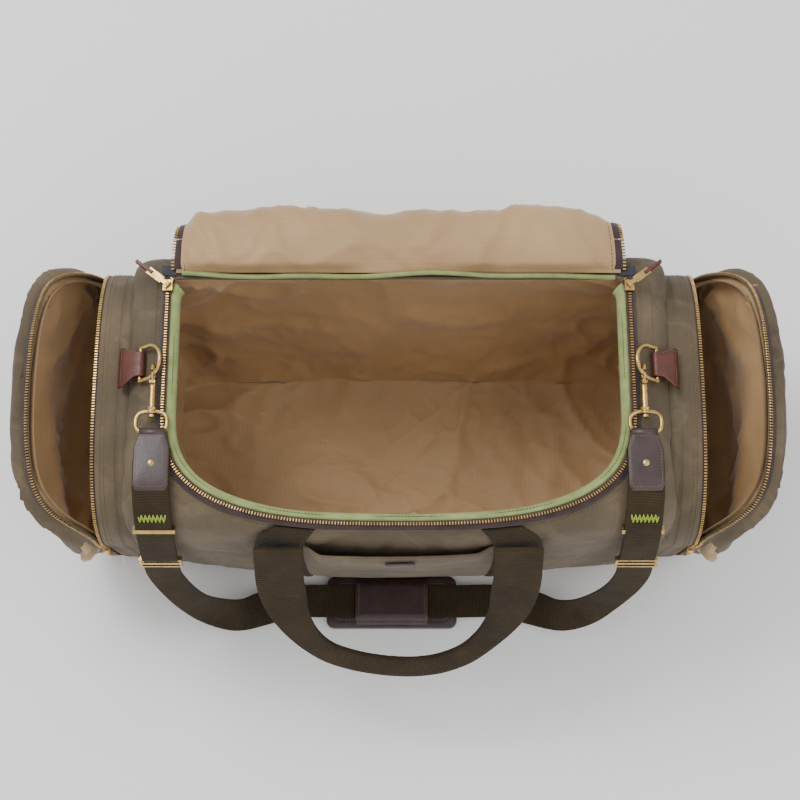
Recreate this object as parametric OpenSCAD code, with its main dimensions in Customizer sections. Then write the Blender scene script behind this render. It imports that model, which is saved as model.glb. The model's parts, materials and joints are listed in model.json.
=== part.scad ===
// Waxed-canvas duffel bag with its lid folded back and both end pockets open.
// +Z up, -Y the front (handle and shoulder strap side), X along the length.

/* [Body] */
// Length of the main compartment between its end seams
body_l = 580; // [520:1:640]
// Largest depth of the main compartment, front to back
body_w = 325; // [300:1:340]
// Height of the mouth edge above the ground
body_h = 285; // [260:1:310]
// Thickness of the waxed canvas
canvas_t = 2.4; // [1.8:0.1:3]
// Thickness of the lining cloth
lining_t = 1.2; // [0.8:0.1:1.6]

/* [Mouth and lid] */
// Length of the zipped mouth
mouth_l = 486; // [460:1:500]
// Depth of the lid strip next to its hinge
lid_rear_w = 68; // [60:1:76]
// Angle that the lid turns from folded back to closed
lid_turn = 166; // [150:1:168]
// Angle that the lid's free part turns on its fold meanwhile
fold_turn = 102; // [90:1:104]

/* [End pockets] */
// Width of the gusset band between the end seam and the pocket zip
gusset_w = 30; // [20:1:40]
// Depth of the domed pocket cap
cap_d = 44; // [30:1:50]
// Angle of the open cap from its closed place
cap_open = 24; // [10:1:28]

/* [Webbing and strap] */
// Width of the carrying handle webbing
handle_w = 50; // [40:1:50]
// Width of the shoulder strap webbing
strap_w = 38; // [30:1:38]
// Thickness of all webbing
web_t = 2; // [1.5:0.1:2.4]
// Length of the leather shoulder pad
pad_l = 148; // [120:1:160]
// Width of the leather shoulder pad
pad_w = 60; // [50:1:64]

/* [Brass hardware] */
// Wire radius of the D-rings
ring_r = 2.2; // [1.8:0.1:2.4]
// Radial clearance of a running pin
pin_gap = 0.05; // [0.02:0.01:0.1]

/* [Hidden] */

// Colours
CANVAS = [0.40, 0.36, 0.28];
LINING = [0.66, 0.53, 0.38];
GREEN = [0.60, 0.64, 0.40];
PLUM = [0.22, 0.13, 0.14];
LEATHER = [0.28, 0.12, 0.10];
WEBBING = [0.33, 0.30, 0.22];
BRASS = [0.72, 0.55, 0.25];
SLATE = [0.20, 0.21, 0.24];
BOARD = [0.30, 0.28, 0.25];

// Distance that centres the whole bag front to back on the origin
y_shift = 12.03;

// Levels of the body shell as shares of the driving sizes: height, half length, depth in front
// and behind the middle of the mouth, squareness of the front and rear corners, barrelling of
// the front and of the back
mouth_f = 132;       // front edge of the mouth from its middle
mouth_b = 140;       // rear edge of the mouth from its middle
LEVELS = [
    [0.010, 0.905, 0.271, 0.385, 9, 9, 0.10, 0.04],
    [0.050, 0.955, 0.320, 0.430, 14, 14, 0.12, 0.04],
    [0.210, 0.985, 0.382, 0.492, 20, 20, 0.16, 0.04],
    [0.455, 1.000, 0.425, 0.529, 20, 20, 0.18, 0.04],
    [0.700, 1.000, 0.452, 0.548, 20, 20, 0.20, 0.04],
    [0.860, 0.990, 0.449, 0.542, 14, 20, 0.18, 0.04],
    [0.945, 0.945, 0.434, 0.503, 6, 30, 0.13, 0.02],
    [1.000, mouth_l / body_l, mouth_f / body_w, mouth_b / body_w, 3, 40, 0.02, 0]];
TOP = len(LEVELS) - 1;
side_n = 12;         // facets along the front and the back
end_n = 6;           // facets across each end

// ---- body shell ----

// Directions round a unit square: 0 front, 1 right end, 2 back, 3 left end
function side_dirs(side, n, from = -1, to = 1) =
    [for (i = [0:n]) let (t = from + (to - from) * i / n)
        side == 0 ? [t, -1] : side == 1 ? [1, t] : side == 2 ? [-t, 1] : [-1, -t]];

// A point of the shell at a level, in one direction, some distance inside the surface
function shell_point(k, d, inset) =
    let (lv = LEVELS[k], front = d[1] < 0, n = front ? lv[4] : lv[5],
         g = pow(pow(abs(d[0]), n) + pow(abs(d[1]), n), -1 / n),
         a = body_l / 2 * lv[1] - inset, b = body_w * (front ? lv[2] : lv[3]) - inset)
    [a * d[0] * g, b * d[1] * g * (1 - (front ? lv[6] : lv[7]) * pow(d[0] * g, 2)), body_h * lv[0]];

function shell_row(k, dirs, inset) = [for (d = dirs) shell_point(k, d, inset)];
function raised(row, dz) = [for (p = row) p + [0, 0, dz]];
function lifted(row, z) = [for (p = row) [p[0], p[1], z]];

// Two triangles for each cell of a grid of r rows and c columns that starts at vertex o
function cells(r, c, o, wrap, flip) =
    [for (i = [0:r - 2], j = [0:c - (wrap ? 1 : 2)])
        let (p = o + i * c + j, q = o + i * c + (j + 1) % c, s = p + c, t = q + c)
        each flip ? [[p, q, t], [p, t, s]] : [[p, t, q], [p, s, t]]];

// Triangles that close the edge between two rows of vertices
function rim(outer, inner, flip) =
    [for (j = [0:len(outer) - 2])
        let (p = outer[j], q = outer[j + 1], s = inner[j], t = inner[j + 1])
        each flip ? [[p, t, q], [p, s, t]] : [[p, q, t], [p, t, s]]];

function span(from, n, step) = [for (j = [0:n - 1]) from + j * step];

// Solid between an outer and an inner grid of points
module slab(outer, inner, wrap = false) {
    r = len(outer);
    c = len(outer[0]);
    o = r * c;
    first = concat(span(0, c, 1), wrap ? [0] : []);
    last = [for (v = first) v + o - c];
    polyhedron(
        points = concat([for (row = outer) each row], [for (row = inner) each row]),
        faces = concat(
            cells(r, c, 0, wrap, false), cells(r, c, o, wrap, true),
            rim(first, [for (v = first) v + o], false), rim(last, [for (v = last) v + o], true),
            wrap ? [] : rim(span(0, r, c), span(o, r, c), true),
            wrap ? [] : rim(span(c - 1, r, c), span(o + c - 1, r, c), false)));
}

// One canvas panel of the shell, between two levels
module panel(dirs, k0, k1, out = 0, t = canvas_t) {
    slab([for (k = [k0:k1]) shell_row(k, dirs, out)],
         [for (k = [k0:k1]) shell_row(k, dirs, out + t)]);
}

module place() { translate([0, y_shift, 0]) children(); }
module side(s) { scale([s, 1, 1]) children(); }

module front_panel() { color(CANVAS) place() panel(side_dirs(0, side_n), 0, TOP); }
module back_panel() { color(CANVAS) place() panel(side_dirs(2, side_n), 0, TOP); }
module end_wall(i) { color(CANVAS) place() panel(side_dirs(i, end_n), 0, 5); }
module shoulder(i) { color(CANVAS) place() panel(side_dirs(i, end_n), 5, TOP); }

function loop_dirs() = [for (s = [0:3]) let (n = s % 2 == 0 ? side_n : end_n, d = side_dirs(s, n))
    each [for (i = [0:n - 1]) d[i]]];
function flat(row) = [for (p = row) [p[0], p[1]]];

module bottom_panel() {
    color(CANVAS) place() linear_extrude(body_h * LEVELS[0][0] - 0.05)
        polygon(flat(shell_row(0, loop_dirs(), 0)));
}

board_z = 4;
board_t = 3;
module base_board() {
    color(BOARD) place() translate([0, 0, board_z]) linear_extrude(board_t)
        polygon(flat(shell_row(0, loop_dirs(), 14)));
}

// Lining bag that hangs inside the canvas, open at the mouth
lining_gap = 0.6;
module cabin_lining() {
    i0 = canvas_t + lining_gap;
    outer = [for (k = [1:TOP]) shell_row(k, loop_dirs(), i0)];
    inner = [for (k = [1:TOP]) shell_row(k, loop_dirs(), i0 + lining_t)];
    color(LINING) place() {
        slab(outer, inner, true);
        translate([0, 0, body_h * LEVELS[1][0] + 0.1]) linear_extrude(lining_t)
            polygon(flat(shell_row(1, loop_dirs(), i0 + 0.2)));
    }
}

// ---- mouth zip: tape, teeth and binding from one rear corner round the front to the other ----

function mouth_dirs() = concat(side_dirs(3, 2 * end_n, -0.93, 1),
    [for (i = [1:side_n * 2]) side_dirs(0, side_n * 2)[i]],
    [for (i = [1:2 * end_n]) side_dirs(1, 2 * end_n, -1, 0.93)[i]]);

module mouth_strip(in0, in1, z0, z1, dirs = mouth_dirs()) {
    a = shell_row(TOP, dirs, in0);
    b = shell_row(TOP, dirs, in1);
    slab([lifted(a, body_h + z0), lifted(a, body_h + z1)], [lifted(b, body_h + z0), lifted(b, body_h + z1)]);
}

tape_z = 0.2;
teeth_z = 1.4;
teeth_top = 4;
module mouth_tape() { color(PLUM) place() mouth_strip(-1, 4.2, tape_z, teeth_z - 0.1); }
module mouth_teeth() { color(BRASS) place() mouth_strip(-0.6, 3, teeth_z, teeth_top); }
module mouth_binding() { color(GREEN) place() mouth_strip(4.6, 7, -10, -1); }

module zip_end_tabs() {
    color(SLATE) place() for (s = [-1, 1]) side(s)
        translate([mouth_l / 2 - 9, mouth_b + 1, body_h + 0.2]) cube([15, 11, 2]);
}

// ---- lid, drawn closed and then folded back ----

hinge_y = mouth_b + 4;
hinge_z = body_h + 2;
fold_y = hinge_y - lid_rear_w;
lid_in = 16.5;
lid_z = body_h + 6;
fold_z = lid_z + canvas_t - 0.2;   // the fold bends about the canvas side

module turned(y, z, angle) { translate([0, y, z]) rotate([angle, 0, 0]) translate([0, -y, -z]) children(); }
module lid_rear_place() { place() turned(hinge_y, hinge_z, -lid_turn) children(); }
module lid_front_place() { lid_rear_place() turned(fold_y, fold_z, -fold_turn) children(); }

// Outline of the lid's free part: straight sides and the rounded front of the mouth
function front_half_dirs() = concat(side_dirs(3, end_n, 0, 1), [for (i = [1:side_n]) side_dirs(0, side_n)[i]],
    [for (i = [1:end_n]) side_dirs(1, end_n, -1, 0)[i]]);
function lid_outline(inset) = let (row = flat(shell_row(TOP, front_half_dirs(), inset)))
    concat([[row[0][0], fold_y - 0.4]], row, [[row[len(row) - 1][0], fold_y - 0.4]]);

module lid_rear_plate(z, t) {
    w = mouth_l / 2 - lid_in;
    translate([-w, fold_y + 0.4, z]) cube([2 * w, hinge_y - fold_y - 2, t]);
}
module lid_front_plate(z, t) { translate([0, 0, z]) linear_extrude(t) polygon(lid_outline(lid_in)); }

module lid_rear() { color(CANVAS) lid_rear_place() lid_rear_plate(lid_z, canvas_t - 0.4); }
module lid_front() { color(CANVAS) lid_front_place() lid_front_plate(lid_z, canvas_t - 0.4); }
module lid_rear_lining() { color(LINING) lid_rear_place() lid_rear_plate(lid_z - lining_t - 0.1, lining_t); }
module lid_front_lining() { color(LINING) lid_front_place() lid_front_plate(lid_z - lining_t - 0.1, lining_t); }

chain_w = 4;
module lid_rear_zip() {
    color(BRASS) lid_rear_place() for (s = [-1, 1]) side(s)
        translate([mouth_l / 2 - lid_in + 0.2, fold_y + 0.4, lid_z - 1]) cube([chain_w, hinge_y - fold_y - 6, 2]);
}
module lid_front_zip() {
    color(BRASS) lid_front_place() {
        row = flat(shell_row(TOP, front_half_dirs(), lid_in - 0.2 - chain_w));
        row_in = flat(shell_row(TOP, front_half_dirs(), lid_in - 0.2));
        n = len(row) - 1;
        translate([0, 0, lid_z - 1]) linear_extrude(2)
            polygon(concat([[row[0][0], fold_y - 0.4]], row, [[row[n][0], fold_y - 0.4]],
                [[row_in[n][0], fold_y - 0.4]], [for (i = [n:-1:0]) row_in[i]], [[row_in[0][0], fold_y - 0.4]]));
    }
}

// ---- end pockets ----

seam_x = body_l / 2 + 0.5;
rim_x = seam_x + gusset_w;
pocket_y = 28;        // middle of the pocket, behind the middle of the mouth
flank_z = 150;        // height where the pocket's flanks run into its arch
flank_w = 140;        // half width of the pocket there
arch_h = 104;         // rise of the arch above the flanks
arch_n = 2.7;         // squareness of the arch
foot_w = 112;         // half width of the pocket at its foot
gusset_foot = 3;
cap_foot = 110;       // height of the line that the cap hinges on

// Outline of a pocket in Y and Z: an arch on two sloping flanks, down to height z0
function flank_at(z) = foot_w + (flank_w - foot_w) * (z / flank_z);
function arch_power(c) = sign(c) * pow(abs(c), 2 / arch_n);
function pocket_outline(inset, z0) = concat(
    [for (a = [0:9:180]) [pocket_y + (flank_w - inset) * arch_power(cos(a)),
                          flank_z + (arch_h - inset) * arch_power(sin(a))]],
    [[pocket_y - flank_at(z0) + inset, z0], [pocket_y + flank_at(z0) - inset, z0]]);

// Extrudes a Y-Z outline along X, outward from distance x
module outward(x, t) { translate([x, 0, 0]) rotate([90, 0, 90]) linear_extrude(t) children(); }

// Row of points round the bulging end of a pocket at height z
function bulge_row(z, inset, x0 = rim_x) =
    let (rise = max(0, (z - flank_z) / arch_h),
         w = z > flank_z ? flank_w * pow(1 - pow(rise, arch_n), 1 / arch_n) : flank_at(z),
         d = cap_d * (z > flank_z ? 1 - 0.75 * pow(rise, 3) : 1 - 0.25 * pow(1 - z / flank_z, 2)))
    [for (a = [-90:12:90]) [x0 + (d - inset) * pow(cos(a), 0.7),
        pocket_y + (w - inset) * sign(a) * pow(abs(sin(a)), 0.85), z]];

// Fixed part of a pocket: the gusset band and the lower end panel
module gusset() {
    difference() {
        outward(seam_x, gusset_w) polygon(pocket_outline(0, gusset_foot));
        outward(seam_x - 1, gusset_w + 2) polygon(pocket_outline(canvas_t, gusset_foot + canvas_t));
    }
    zs = [gusset_foot, 40, 75, cap_foot - 1];
    slab([for (z = zs) bulge_row(z, 0)], [for (z = zs) bulge_row(z, canvas_t)]);
    translate([0, 0, gusset_foot]) linear_extrude(canvas_t) polygon(flat(bulge_row(gusset_foot, canvas_t + 0.1)));
}
module pocket_lining() {
    i0 = canvas_t + 0.5;
    difference() {
        outward(seam_x + 0.4, gusset_w - 4) polygon(pocket_outline(i0, gusset_foot + i0));
        outward(seam_x + 0.4 + lining_t, gusset_w) polygon(pocket_outline(i0 + lining_t, gusset_foot + i0 + lining_t));
    }
}
// Raised chain of the pocket zip along the arch and the flanks, at the edge that starts at x
module pocket_chain(x) {
    difference() {
        outward(x, chain_w) polygon(pocket_outline(-1.6, cap_foot + 4));
        outward(x - 1, chain_w + 2) polygon(pocket_outline(-0.7, 0));
    }
}

// Domed cap, drawn closed against the gusset and hinged on the foot of its outer wall
cap_x = rim_x + 0.8;
cap_top = flank_z + arch_h;
cap_levels = [cap_foot + 1, 150, 185, 212, 232, 245, cap_top - 2.5];
module cap_place(s) {
    place() side(s) translate([cap_x + cap_d, 0, cap_foot]) rotate([0, cap_open, 0])
        translate([-cap_x - cap_d, 0, -cap_foot]) children();
}
module cap_shell() {
    slab([for (z = cap_levels) bulge_row(z, 0, cap_x)],
         [for (z = cap_levels) bulge_row(z, canvas_t, cap_x)]);
    translate([0, 0, cap_top - 2.9]) linear_extrude(0.8) polygon(flat(bulge_row(cap_top - 2.5, 1.2, cap_x)));
}
module cap_liner() {
    i0 = canvas_t + 0.6;
    levels = [for (i = [0:5]) cap_levels[i]];
    slab([for (z = levels) bulge_row(z, i0, cap_x)], [for (z = levels) bulge_row(z, i0 + lining_t, cap_x)]);
}

module pocket_zips() { color(BRASS) place() for (s = [-1, 1]) side(s) pocket_chain(rim_x - 5); }

// ---- slip pocket and handle bands on the front and back ----

band_x = 122;

// Directions of a strip of the front or back between two X distances
function strip_dirs(x0, x1, n, back) = [for (i = [0:n]) let (x = (x0 + (x1 - x0) * i / n) / (body_l / 2))
    back ? [-x, 1] : [x, -1]];

module slip_pocket() {
    stand = [0, 1.2, 1.2, 2, 13];
    dirs = strip_dirs(-band_x + handle_w / 2 + 3, band_x - handle_w / 2 - 3, 6, false);
    outer = [for (k = [1:4]) shell_row(k, dirs, -stand[k] - canvas_t)];
    inner = [for (k = [1:4]) shell_row(k, dirs, -stand[k])];
    color(CANVAS) place() slab(concat(outer, [raised(outer[3], 22)]), concat(inner, [raised(inner[3], 22)]));
}

module handle_bands() {
    color(WEBBING) place() for (s = [-1, 1], back = [false, true])
        panel(strip_dirs(s * band_x - handle_w / 2, s * band_x + handle_w / 2, 3, back), 1, 6,
            -web_t - 0.3, web_t);
}

// ---- carrying handles, drawn hanging straight down from their sewn ends ----

grip_v = 184;         // distance from the sewn ends to the far edge of the grip
grip_h = 26;          // width of the folded grip
handle_z = 262;       // height of the sewn ends
front_hang = 30;      // angle of the front handle from straight down
rear_hang = 0.5;       // angle of the rear handle from straight down
front_hinge_y = -152;
rear_hinge_y = 187;

// One edge of the U, from a leg to the middle: w half width at the ends, g half width at the grip
function u_edge(w, g, reach) = concat([[w, 3]],
    [for (a = [0:15:90]) [g + (w - g) * cos(a), reach * 0.32 + reach * 0.68 * sin(a)]]);

module handle_plate() {
    outer = u_edge(band_x + handle_w / 2, 52, grip_v);
    inner = u_edge(band_x - handle_w / 2, 44, grip_v - grip_h);
    edge = concat(outer, [for (i = [len(outer) - 1:-1:0]) [-outer[i][0], outer[i][1]]]);
    hole = concat(inner, [for (i = [len(inner) - 1:-1:0]) [-inner[i][0], inner[i][1]]]);
    rotate([-90, 0, 0]) translate([0, 0, -web_t]) linear_extrude(2 * web_t)
        polygon(concat(edge, [for (i = [len(hole) - 1:-1:0]) hole[i]]));
}
module front_handle() {
    color(WEBBING) place() translate([0, front_hinge_y, handle_z]) rotate([-front_hang, 0, 0]) handle_plate();
}
module rear_handle() {
    color(WEBBING) place() translate([0, rear_hinge_y, handle_z]) rotate([rear_hang, 0, 0]) handle_plate();
}

// ---- zip sliders and their pulls ----

pin_r = 1;            // crossbar of a slider's bridge
slider_l = 12;
slider_w = 10;
pull_l = 26;
lace_l = 22;

// Saddle over a zip chain that runs along Y, with a bridge for the pull turned by angle a
module saddle(a, channel_w, channel_h) {
    difference() {
        translate([-slider_w / 2, -slider_l / 2, 0]) cube([slider_w, slider_l, channel_h + 2.2]);
        translate([-channel_w / 2, -slider_l, -1]) cube([channel_w, 2 * slider_l, channel_h + 1]);
    }
    translate([0, 0, channel_h + 2.2]) rotate([0, 0, a]) {
        for (s = [-1, 1]) translate([-1.5, s * 3.6 - 0.9, 0]) cube([3, 1.8, 4]);
        translate([0, 0, 2.4]) rotate([90, 0, 0]) cylinder(r = pin_r, h = 6, center = true, $fn = 32);
    }
}
// Pull tab lying along +X from its eye, which runs on the crossbar
module pull_tab(w = 8, l = pull_l) {
    difference() {
        union() {
            rotate([90, 0, 0]) cylinder(r = 2.1, h = 4.6, center = true, $fn = 32);
            translate([1, -2.3, -1]) cube([6, 4.6, 2]);
        }
        rotate([90, 0, 0]) cylinder(r = pin_r + pin_gap, h = 8, center = true, $fn = 32);
    }
    difference() {
        translate([7, -w / 2, -1]) cube([l - 7, w, 2]);
        translate([l - 6, -w / 2 + 2, -2]) cube([4, w - 4, 4]);
    }
}
// Leather lace looped through the far slot of a pull
module lace(l = lace_l) {
    translate([pull_l - 5.4, -1.6, 1.1]) cube([l, 3.2, 1.4]);
    translate([pull_l - 5.4, -1.6, -2.5]) cube([l, 3.2, 1.4]);
    translate([pull_l - 5.2, -1.6, -0.95]) cube([2.6, 3.2, 1.9]);
    translate([pull_l + 0.4, -1.6, -0.95]) cube([l - 8, 3.2, 1.9]);
}

// Main sliders stand at the rear ends of the mouth zip
slider_y = 128;
slider_x = mouth_l / 2 - 1.2;
slider_z = body_h + teeth_z + 0.2;
channel_h = teeth_top - teeth_z + 0.2;
pull_turn = 38;       // the pulls point outward and this much to the rear
module slider_place(s) { place() side(s) translate([slider_x, slider_y, slider_z]) children(); }
module slider() { saddle(pull_turn, 4.6, channel_h); }
module pull_place() { translate([0, 0, channel_h + 4.6]) rotate([0, 0, pull_turn]) children(); }

// Pocket sliders stand low on the front flank of each pocket zip
pocket_slider_z = 122;
flank_angle = atan((flank_w - foot_w) / flank_z);
module pocket_slider_place(s) {
    place() side(s) translate([rim_x - 5 + chain_w / 2, pocket_y - flank_at(pocket_slider_z), pocket_slider_z])
        rotate([flank_angle, 0, 0]) rotate([90, 0, 0]) children();
}
module pocket_slider() {
    difference() {
        translate([-3.2, -slider_l / 2, 0.3]) cube([6.4, slider_l, 3.6]);
        translate([-chain_w / 2 - 0.3, -slider_l, 0]) cube([chain_w + 0.6, 2 * slider_l, 2]);
    }
    translate([0, 0, 3.9]) rotate([0, 0, 90]) {
        for (s = [-1, 1]) translate([-1.5, s * 3.1 - 0.6, 0]) cube([3, 1.2, 4]);
        translate([0, 0, 2.4]) rotate([90, 0, 0]) cylinder(r = pin_r, h = 5.6, center = true, $fn = 32);
    }
}
// Pocket pulls hang straight down from their bridge
module pocket_pull() {
    translate([0, 0, 6.3]) rotate([0, 0, -90]) {
        pull_tab(6, 22);
        translate([-4, 0, 0]) lace(22);
    }
}

// ---- D-rings on leather anchors ----

dring_x = 268;        // hinge line of each D-ring
dring_z = 278;
dring_y0 = 25.5;      // front leg
dring_y1 = 61.5;      // rear leg
dring_tilt = 40;
dring_leg = 11;       // straight part of each leg

module dring_wire() {
    w = (dring_y1 - dring_y0) / 2;
    translate([0, w, 0]) rotate([90, 0, 0]) cylinder(r = ring_r, h = 2 * w, center = true, $fn = 32);
    for (y = [0, 2 * w]) translate([0, y, 0]) {
        sphere(r = ring_r, $fn = 32);
        rotate([0, -90, 0]) cylinder(r = ring_r, h = dring_leg, $fn = 32);
    }
    translate([-dring_leg, w, 0]) rotate([0, 0, 90])
        rotate_extrude(angle = 180, $fn = 64) translate([w, 0]) circle(r = ring_r, $fn = 32);
}
module dring(s) {
    color(BRASS) place() translate([0, (dring_y0 + dring_y1) / 2, 0]) rotate([0, 0, s < 0 ? 180 : 0])
        translate([dring_x, (dring_y0 - dring_y1) / 2, dring_z]) rotate([0, dring_tilt, 0]) dring_wire();
}
anchor_r = 4.9;
module dring_anchors() {
    color(LEATHER) place() for (s = [-1, 1]) side(s) {
        difference() {
            union() {
                translate([dring_x, (dring_y0 + dring_y1) / 2, dring_z]) rotate([90, 0, 0])
                    cylinder(r = anchor_r, h = dring_y1 - dring_y0 - 7, center = true, $fn = 48);
                translate([dring_x, dring_y0 + 4, dring_z - anchor_r]) cube([13, dring_y1 - dring_y0 - 8, 2.4]);
            }
            translate([dring_x, (dring_y0 + dring_y1) / 2, dring_z]) rotate([90, 0, 0])
                cylinder(r = ring_r + pin_gap, h = 60, center = true, $fn = 32);
        }
        translate([dring_x + 13, dring_y0 - 1, dring_z - anchor_r]) cube([9, dring_y1 - dring_y0 + 2, 2.4]);
    }
}

// ---- snap hooks between the D-rings and the strap ----

hook_x = 252;         // plane of the hook's eye
hook_z = 292;         // height of the hook's shank
eye_y = 28.5;         // middle of the eye, which holds the D-ring's wire
eye_dz = 0.6;
eye_r = 8.5;
eye_wire = 1.8;
swivel_y = -8;        // rear face of the swivel boss on the strap ring
boss_l = 8;
swivel_r = 2;
gate_y = 17.5;        // pivot of the sprung gate
gate_dz = 5.6;
gate_l = 9.6;
gate_pin_r = 0.8;

module hook_place(s) { place() side(s) translate([hook_x, 0, hook_z]) children(); }
module hook() {
    // eye, open on its upper front quarter where the gate closes it
    translate([0, eye_y, eye_dz]) rotate([0, -90, 0]) rotate([0, 0, 5])
        rotate_extrude(angle = 265, $fn = 64) translate([eye_r, 0]) circle(r = eye_wire, $fn = 32);
    translate([0, swivel_y, 0]) rotate([-90, 0, 0])
        cylinder(r = 3.2, h = eye_y - eye_r - swivel_y + 0.8, $fn = 48);
    translate([0, swivel_y - boss_l - 1, 0]) rotate([-90, 0, 0]) cylinder(r = swivel_r, h = boss_l + 2, $fn = 48);
    translate([0, swivel_y - boss_l - 3.2, 0]) rotate([-90, 0, 0]) cylinder(r = 3.2, h = 2.4, $fn = 48);
    // ears and pin of the gate
    for (s = [-1, 1]) translate([s * 2.2 - 0.5, gate_y - 1.4, 1.8]) cube([1, 2.8, gate_dz]);
    translate([0, gate_y, gate_dz]) rotate([0, 90, 0]) cylinder(r = gate_pin_r, h = 4.6, center = true, $fn = 32);
}
module gate() {
    difference() {
        translate([0, gate_y, gate_dz]) {
            rotate([0, 90, 0]) cylinder(r = 1.7, h = 3, center = true, $fn = 48);
            rotate([-72, 0, 0]) cylinder(r = 1.2, h = gate_l, $fn = 32);
        }
        translate([0, gate_y, gate_dz]) rotate([0, 90, 0]) cylinder(r = gate_pin_r + pin_gap, h = 6, center = true, $fn = 32);
    }
}

// Strap ring with the boss in which the hook swivels
module strap_ring() {
    difference() {
        translate([0, swivel_y - 0.5, 0]) rotate([90, 0, 0]) cylinder(r = 5, h = boss_l - 0.8, $fn = 48);
        translate([0, swivel_y + 1, 0]) rotate([90, 0, 0]) cylinder(r = swivel_r + pin_gap, h = 40, $fn = 48);
    }
    for (s = [-1, 1]) {
        translate([s * 16, -36, 0]) rotate([-90, 0, 0]) cylinder(r = 2, h = 23, $fn = 32);
        translate([s * 4.4, swivel_y - 5, 0]) rotate([0, s * 90, 0]) cylinder(r = 2, h = 11.6, $fn = 32);
        translate([s * 16, -13, 0]) sphere(r = 2, $fn = 32);
        translate([s * 16, -36, 0]) sphere(r = 2, $fn = 32);
    }
    translate([0, -36, 0]) rotate([0, 90, 0]) cylinder(r = 2, h = 32, center = true, $fn = 32);
}
module strap_rings() { color(BRASS) for (s = [-1, 1]) hook_place(s) strap_ring(); }

// ---- shoulder strap ----

// Route of the webbing's middle from the left tab to the pad, with the direction across the band
STRAP = [
    [[-250, -52, 290.2], [1, 0, 0]], [[-250, -84, 290.2], [1, 0, 0]], [[-249, -108, 284], [1, 0, 0]],
    [[-248, -129.5, 262], [1, 0, 0]], [[-248, -138, 232], [1, 0, 0]], [[-248, -144, 197], [1, 0, 0]],
    [[-248, -150, 162], [1, 0, 0]], [[-238, -157, 128], [0.9, 0.1, 0.3]], [[-222, -163, 92], [0.75, 0.3, 0.6]],
    [[-203, -165, 58], [0.5, 0.6, 0.65]], [[-178, -162, 31], [0.25, 0.85, 0.4]],
    [[-150, -150, 15], [0.08, 1, 0.1]], [[-118, -142, 12], [0, 1, 0]], [[0, -142, 12], [0, 1, 0]]];
strap_end = len(STRAP) - 1;
pad_z = 12;
pad_y = -142;

function unit(v) = v / norm(v);
function tangent(i) = unit(STRAP[min(i + 1, strap_end)][0] - STRAP[max(i - 1, 0)][0]);
function band_side(i) = let (t = tangent(i), s = STRAP[i][1]) unit(s - t * (t * s));
// The four corners of the band at one station
function band_corners(i) = let (p = STRAP[i][0], s = band_side(i) * strap_w / 2,
        n = cross(tangent(i), band_side(i)) * web_t / 2)
    [p - s - n, p + s - n, p + s + n, p - s + n];
function mirrored(row) = [for (p = row) [-p[0], p[1], p[2]]];

module half_webbing(s) {
    rows = [for (i = [0:strap_end]) s < 0 ? band_corners(i) : mirrored(band_corners(i))];
    n = len(rows);
    ends = [[0, 1, 2, 3], [for (j = [3:-1:0]) 4 * (n - 1) + j]];
    sides = [for (i = [0:n - 2], j = [0:3]) let (a = 4 * i + j, b = 4 * i + (j + 1) % 4)
        each j < 2 ? [[a, a + 4, b], [b, a + 4, b + 4]] : [[a, a + 4, b + 4], [a, b + 4, b]]];
    faces = concat(ends, sides);
    polyhedron(points = [for (r = rows) each r],
        faces = s < 0 ? faces : [for (f = faces) [for (j = [len(f) - 1:-1:0]) f[j]]]);
}
module strap_webbing() { color(WEBBING) place() for (s = [-1, 1]) half_webbing(s); }

// Leather tabs that fold round the strap rings
tab_w = 36;
tab_t = 2;
tab_front = -92;
module strap_tabs() {
    color(PLUM) place() for (s = [-1, 1]) side(s) translate([250, 0, 0]) {
        translate([-tab_w / 2 + 4, tab_front + 6, 291.3]) cube([tab_w - 8, 38, tab_t]);
        translate([-14, -48.2, 291.3]) cube([28, 9, tab_t]);
        translate([-14, -41.2, 294.3]) cube([28, 7.2, 1.4]);
        translate([-14, -41.2, 293.2]) cube([28, 2, 1.2]);
    }
}
module strap_rivets() {
    color(BRASS) place() for (s = [-1, 1]) side(s) translate([250, -62, 293.3]) cylinder(r = 3.6, h = 1.6, $fn = 48);
}

// Frame round the webbing, drawn flat across it: w inner width, h height, t thickness
module web_frame(w, h, t, gap) {
    difference() {
        cube([w + 2 * t, h, gap + 2 * t], center = true);
        cube([w, h + 1, gap], center = true);
    }
}
module on_strap(s, i) {
    t = tangent(i);
    place() side(-s) translate(STRAP[i][0]) rotate([90 + atan2(t[1], -t[2]), 0, 0]) children();
}
module strap_loops() {
    color(BRASS) for (s = [-1, 1]) on_strap(s, 3) web_frame(strap_w + 0.8, 5, 2, web_t + 1.4);
}
glide_play = 1.2;
module glide() {
    web_frame(strap_w + 1.2, 4, 2.4, web_t + glide_play);
    for (s = [-1, 1]) translate([0, s * 7, web_t / 2 + glide_play / 2 + 1.2]) cube([strap_w + 6, 2.6, 2.4], center = true);
    for (s = [-1, 1]) translate([s * (strap_w / 2 + 1.8), 0, web_t / 2 + glide_play / 2 + 1.2])
        cube([2.4, 16.6, 2.4], center = true);
}

pad_t = 9;
pad_x = -8;
module shoulder_pad() {
    color(LEATHER) place() translate([pad_x, pad_y, pad_z - web_t / 2 - 0.4 - pad_t])
        hull() for (x = [-1, 1], y = [-1, 1])
            translate([x * (pad_l / 2 - 9), y * (pad_w / 2 - 9), 0]) cylinder(r = 9, h = pad_t, $fn = 32);
}
bridge_l = 82;
module pad_bridge() {
    color(PLUM) place() translate([pad_x, pad_y, pad_z - web_t / 2 - 0.4]) {
        difference() {
            translate([-bridge_l / 2, -pad_w / 2 + 5, 0]) cube([bridge_l, pad_w - 10, web_t + 3]);
            translate([-bridge_l, -strap_w / 2 - 0.5, -1]) cube([2 * bridge_l, strap_w + 1, web_t + 1.9]);
        }
    }
}

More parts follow.
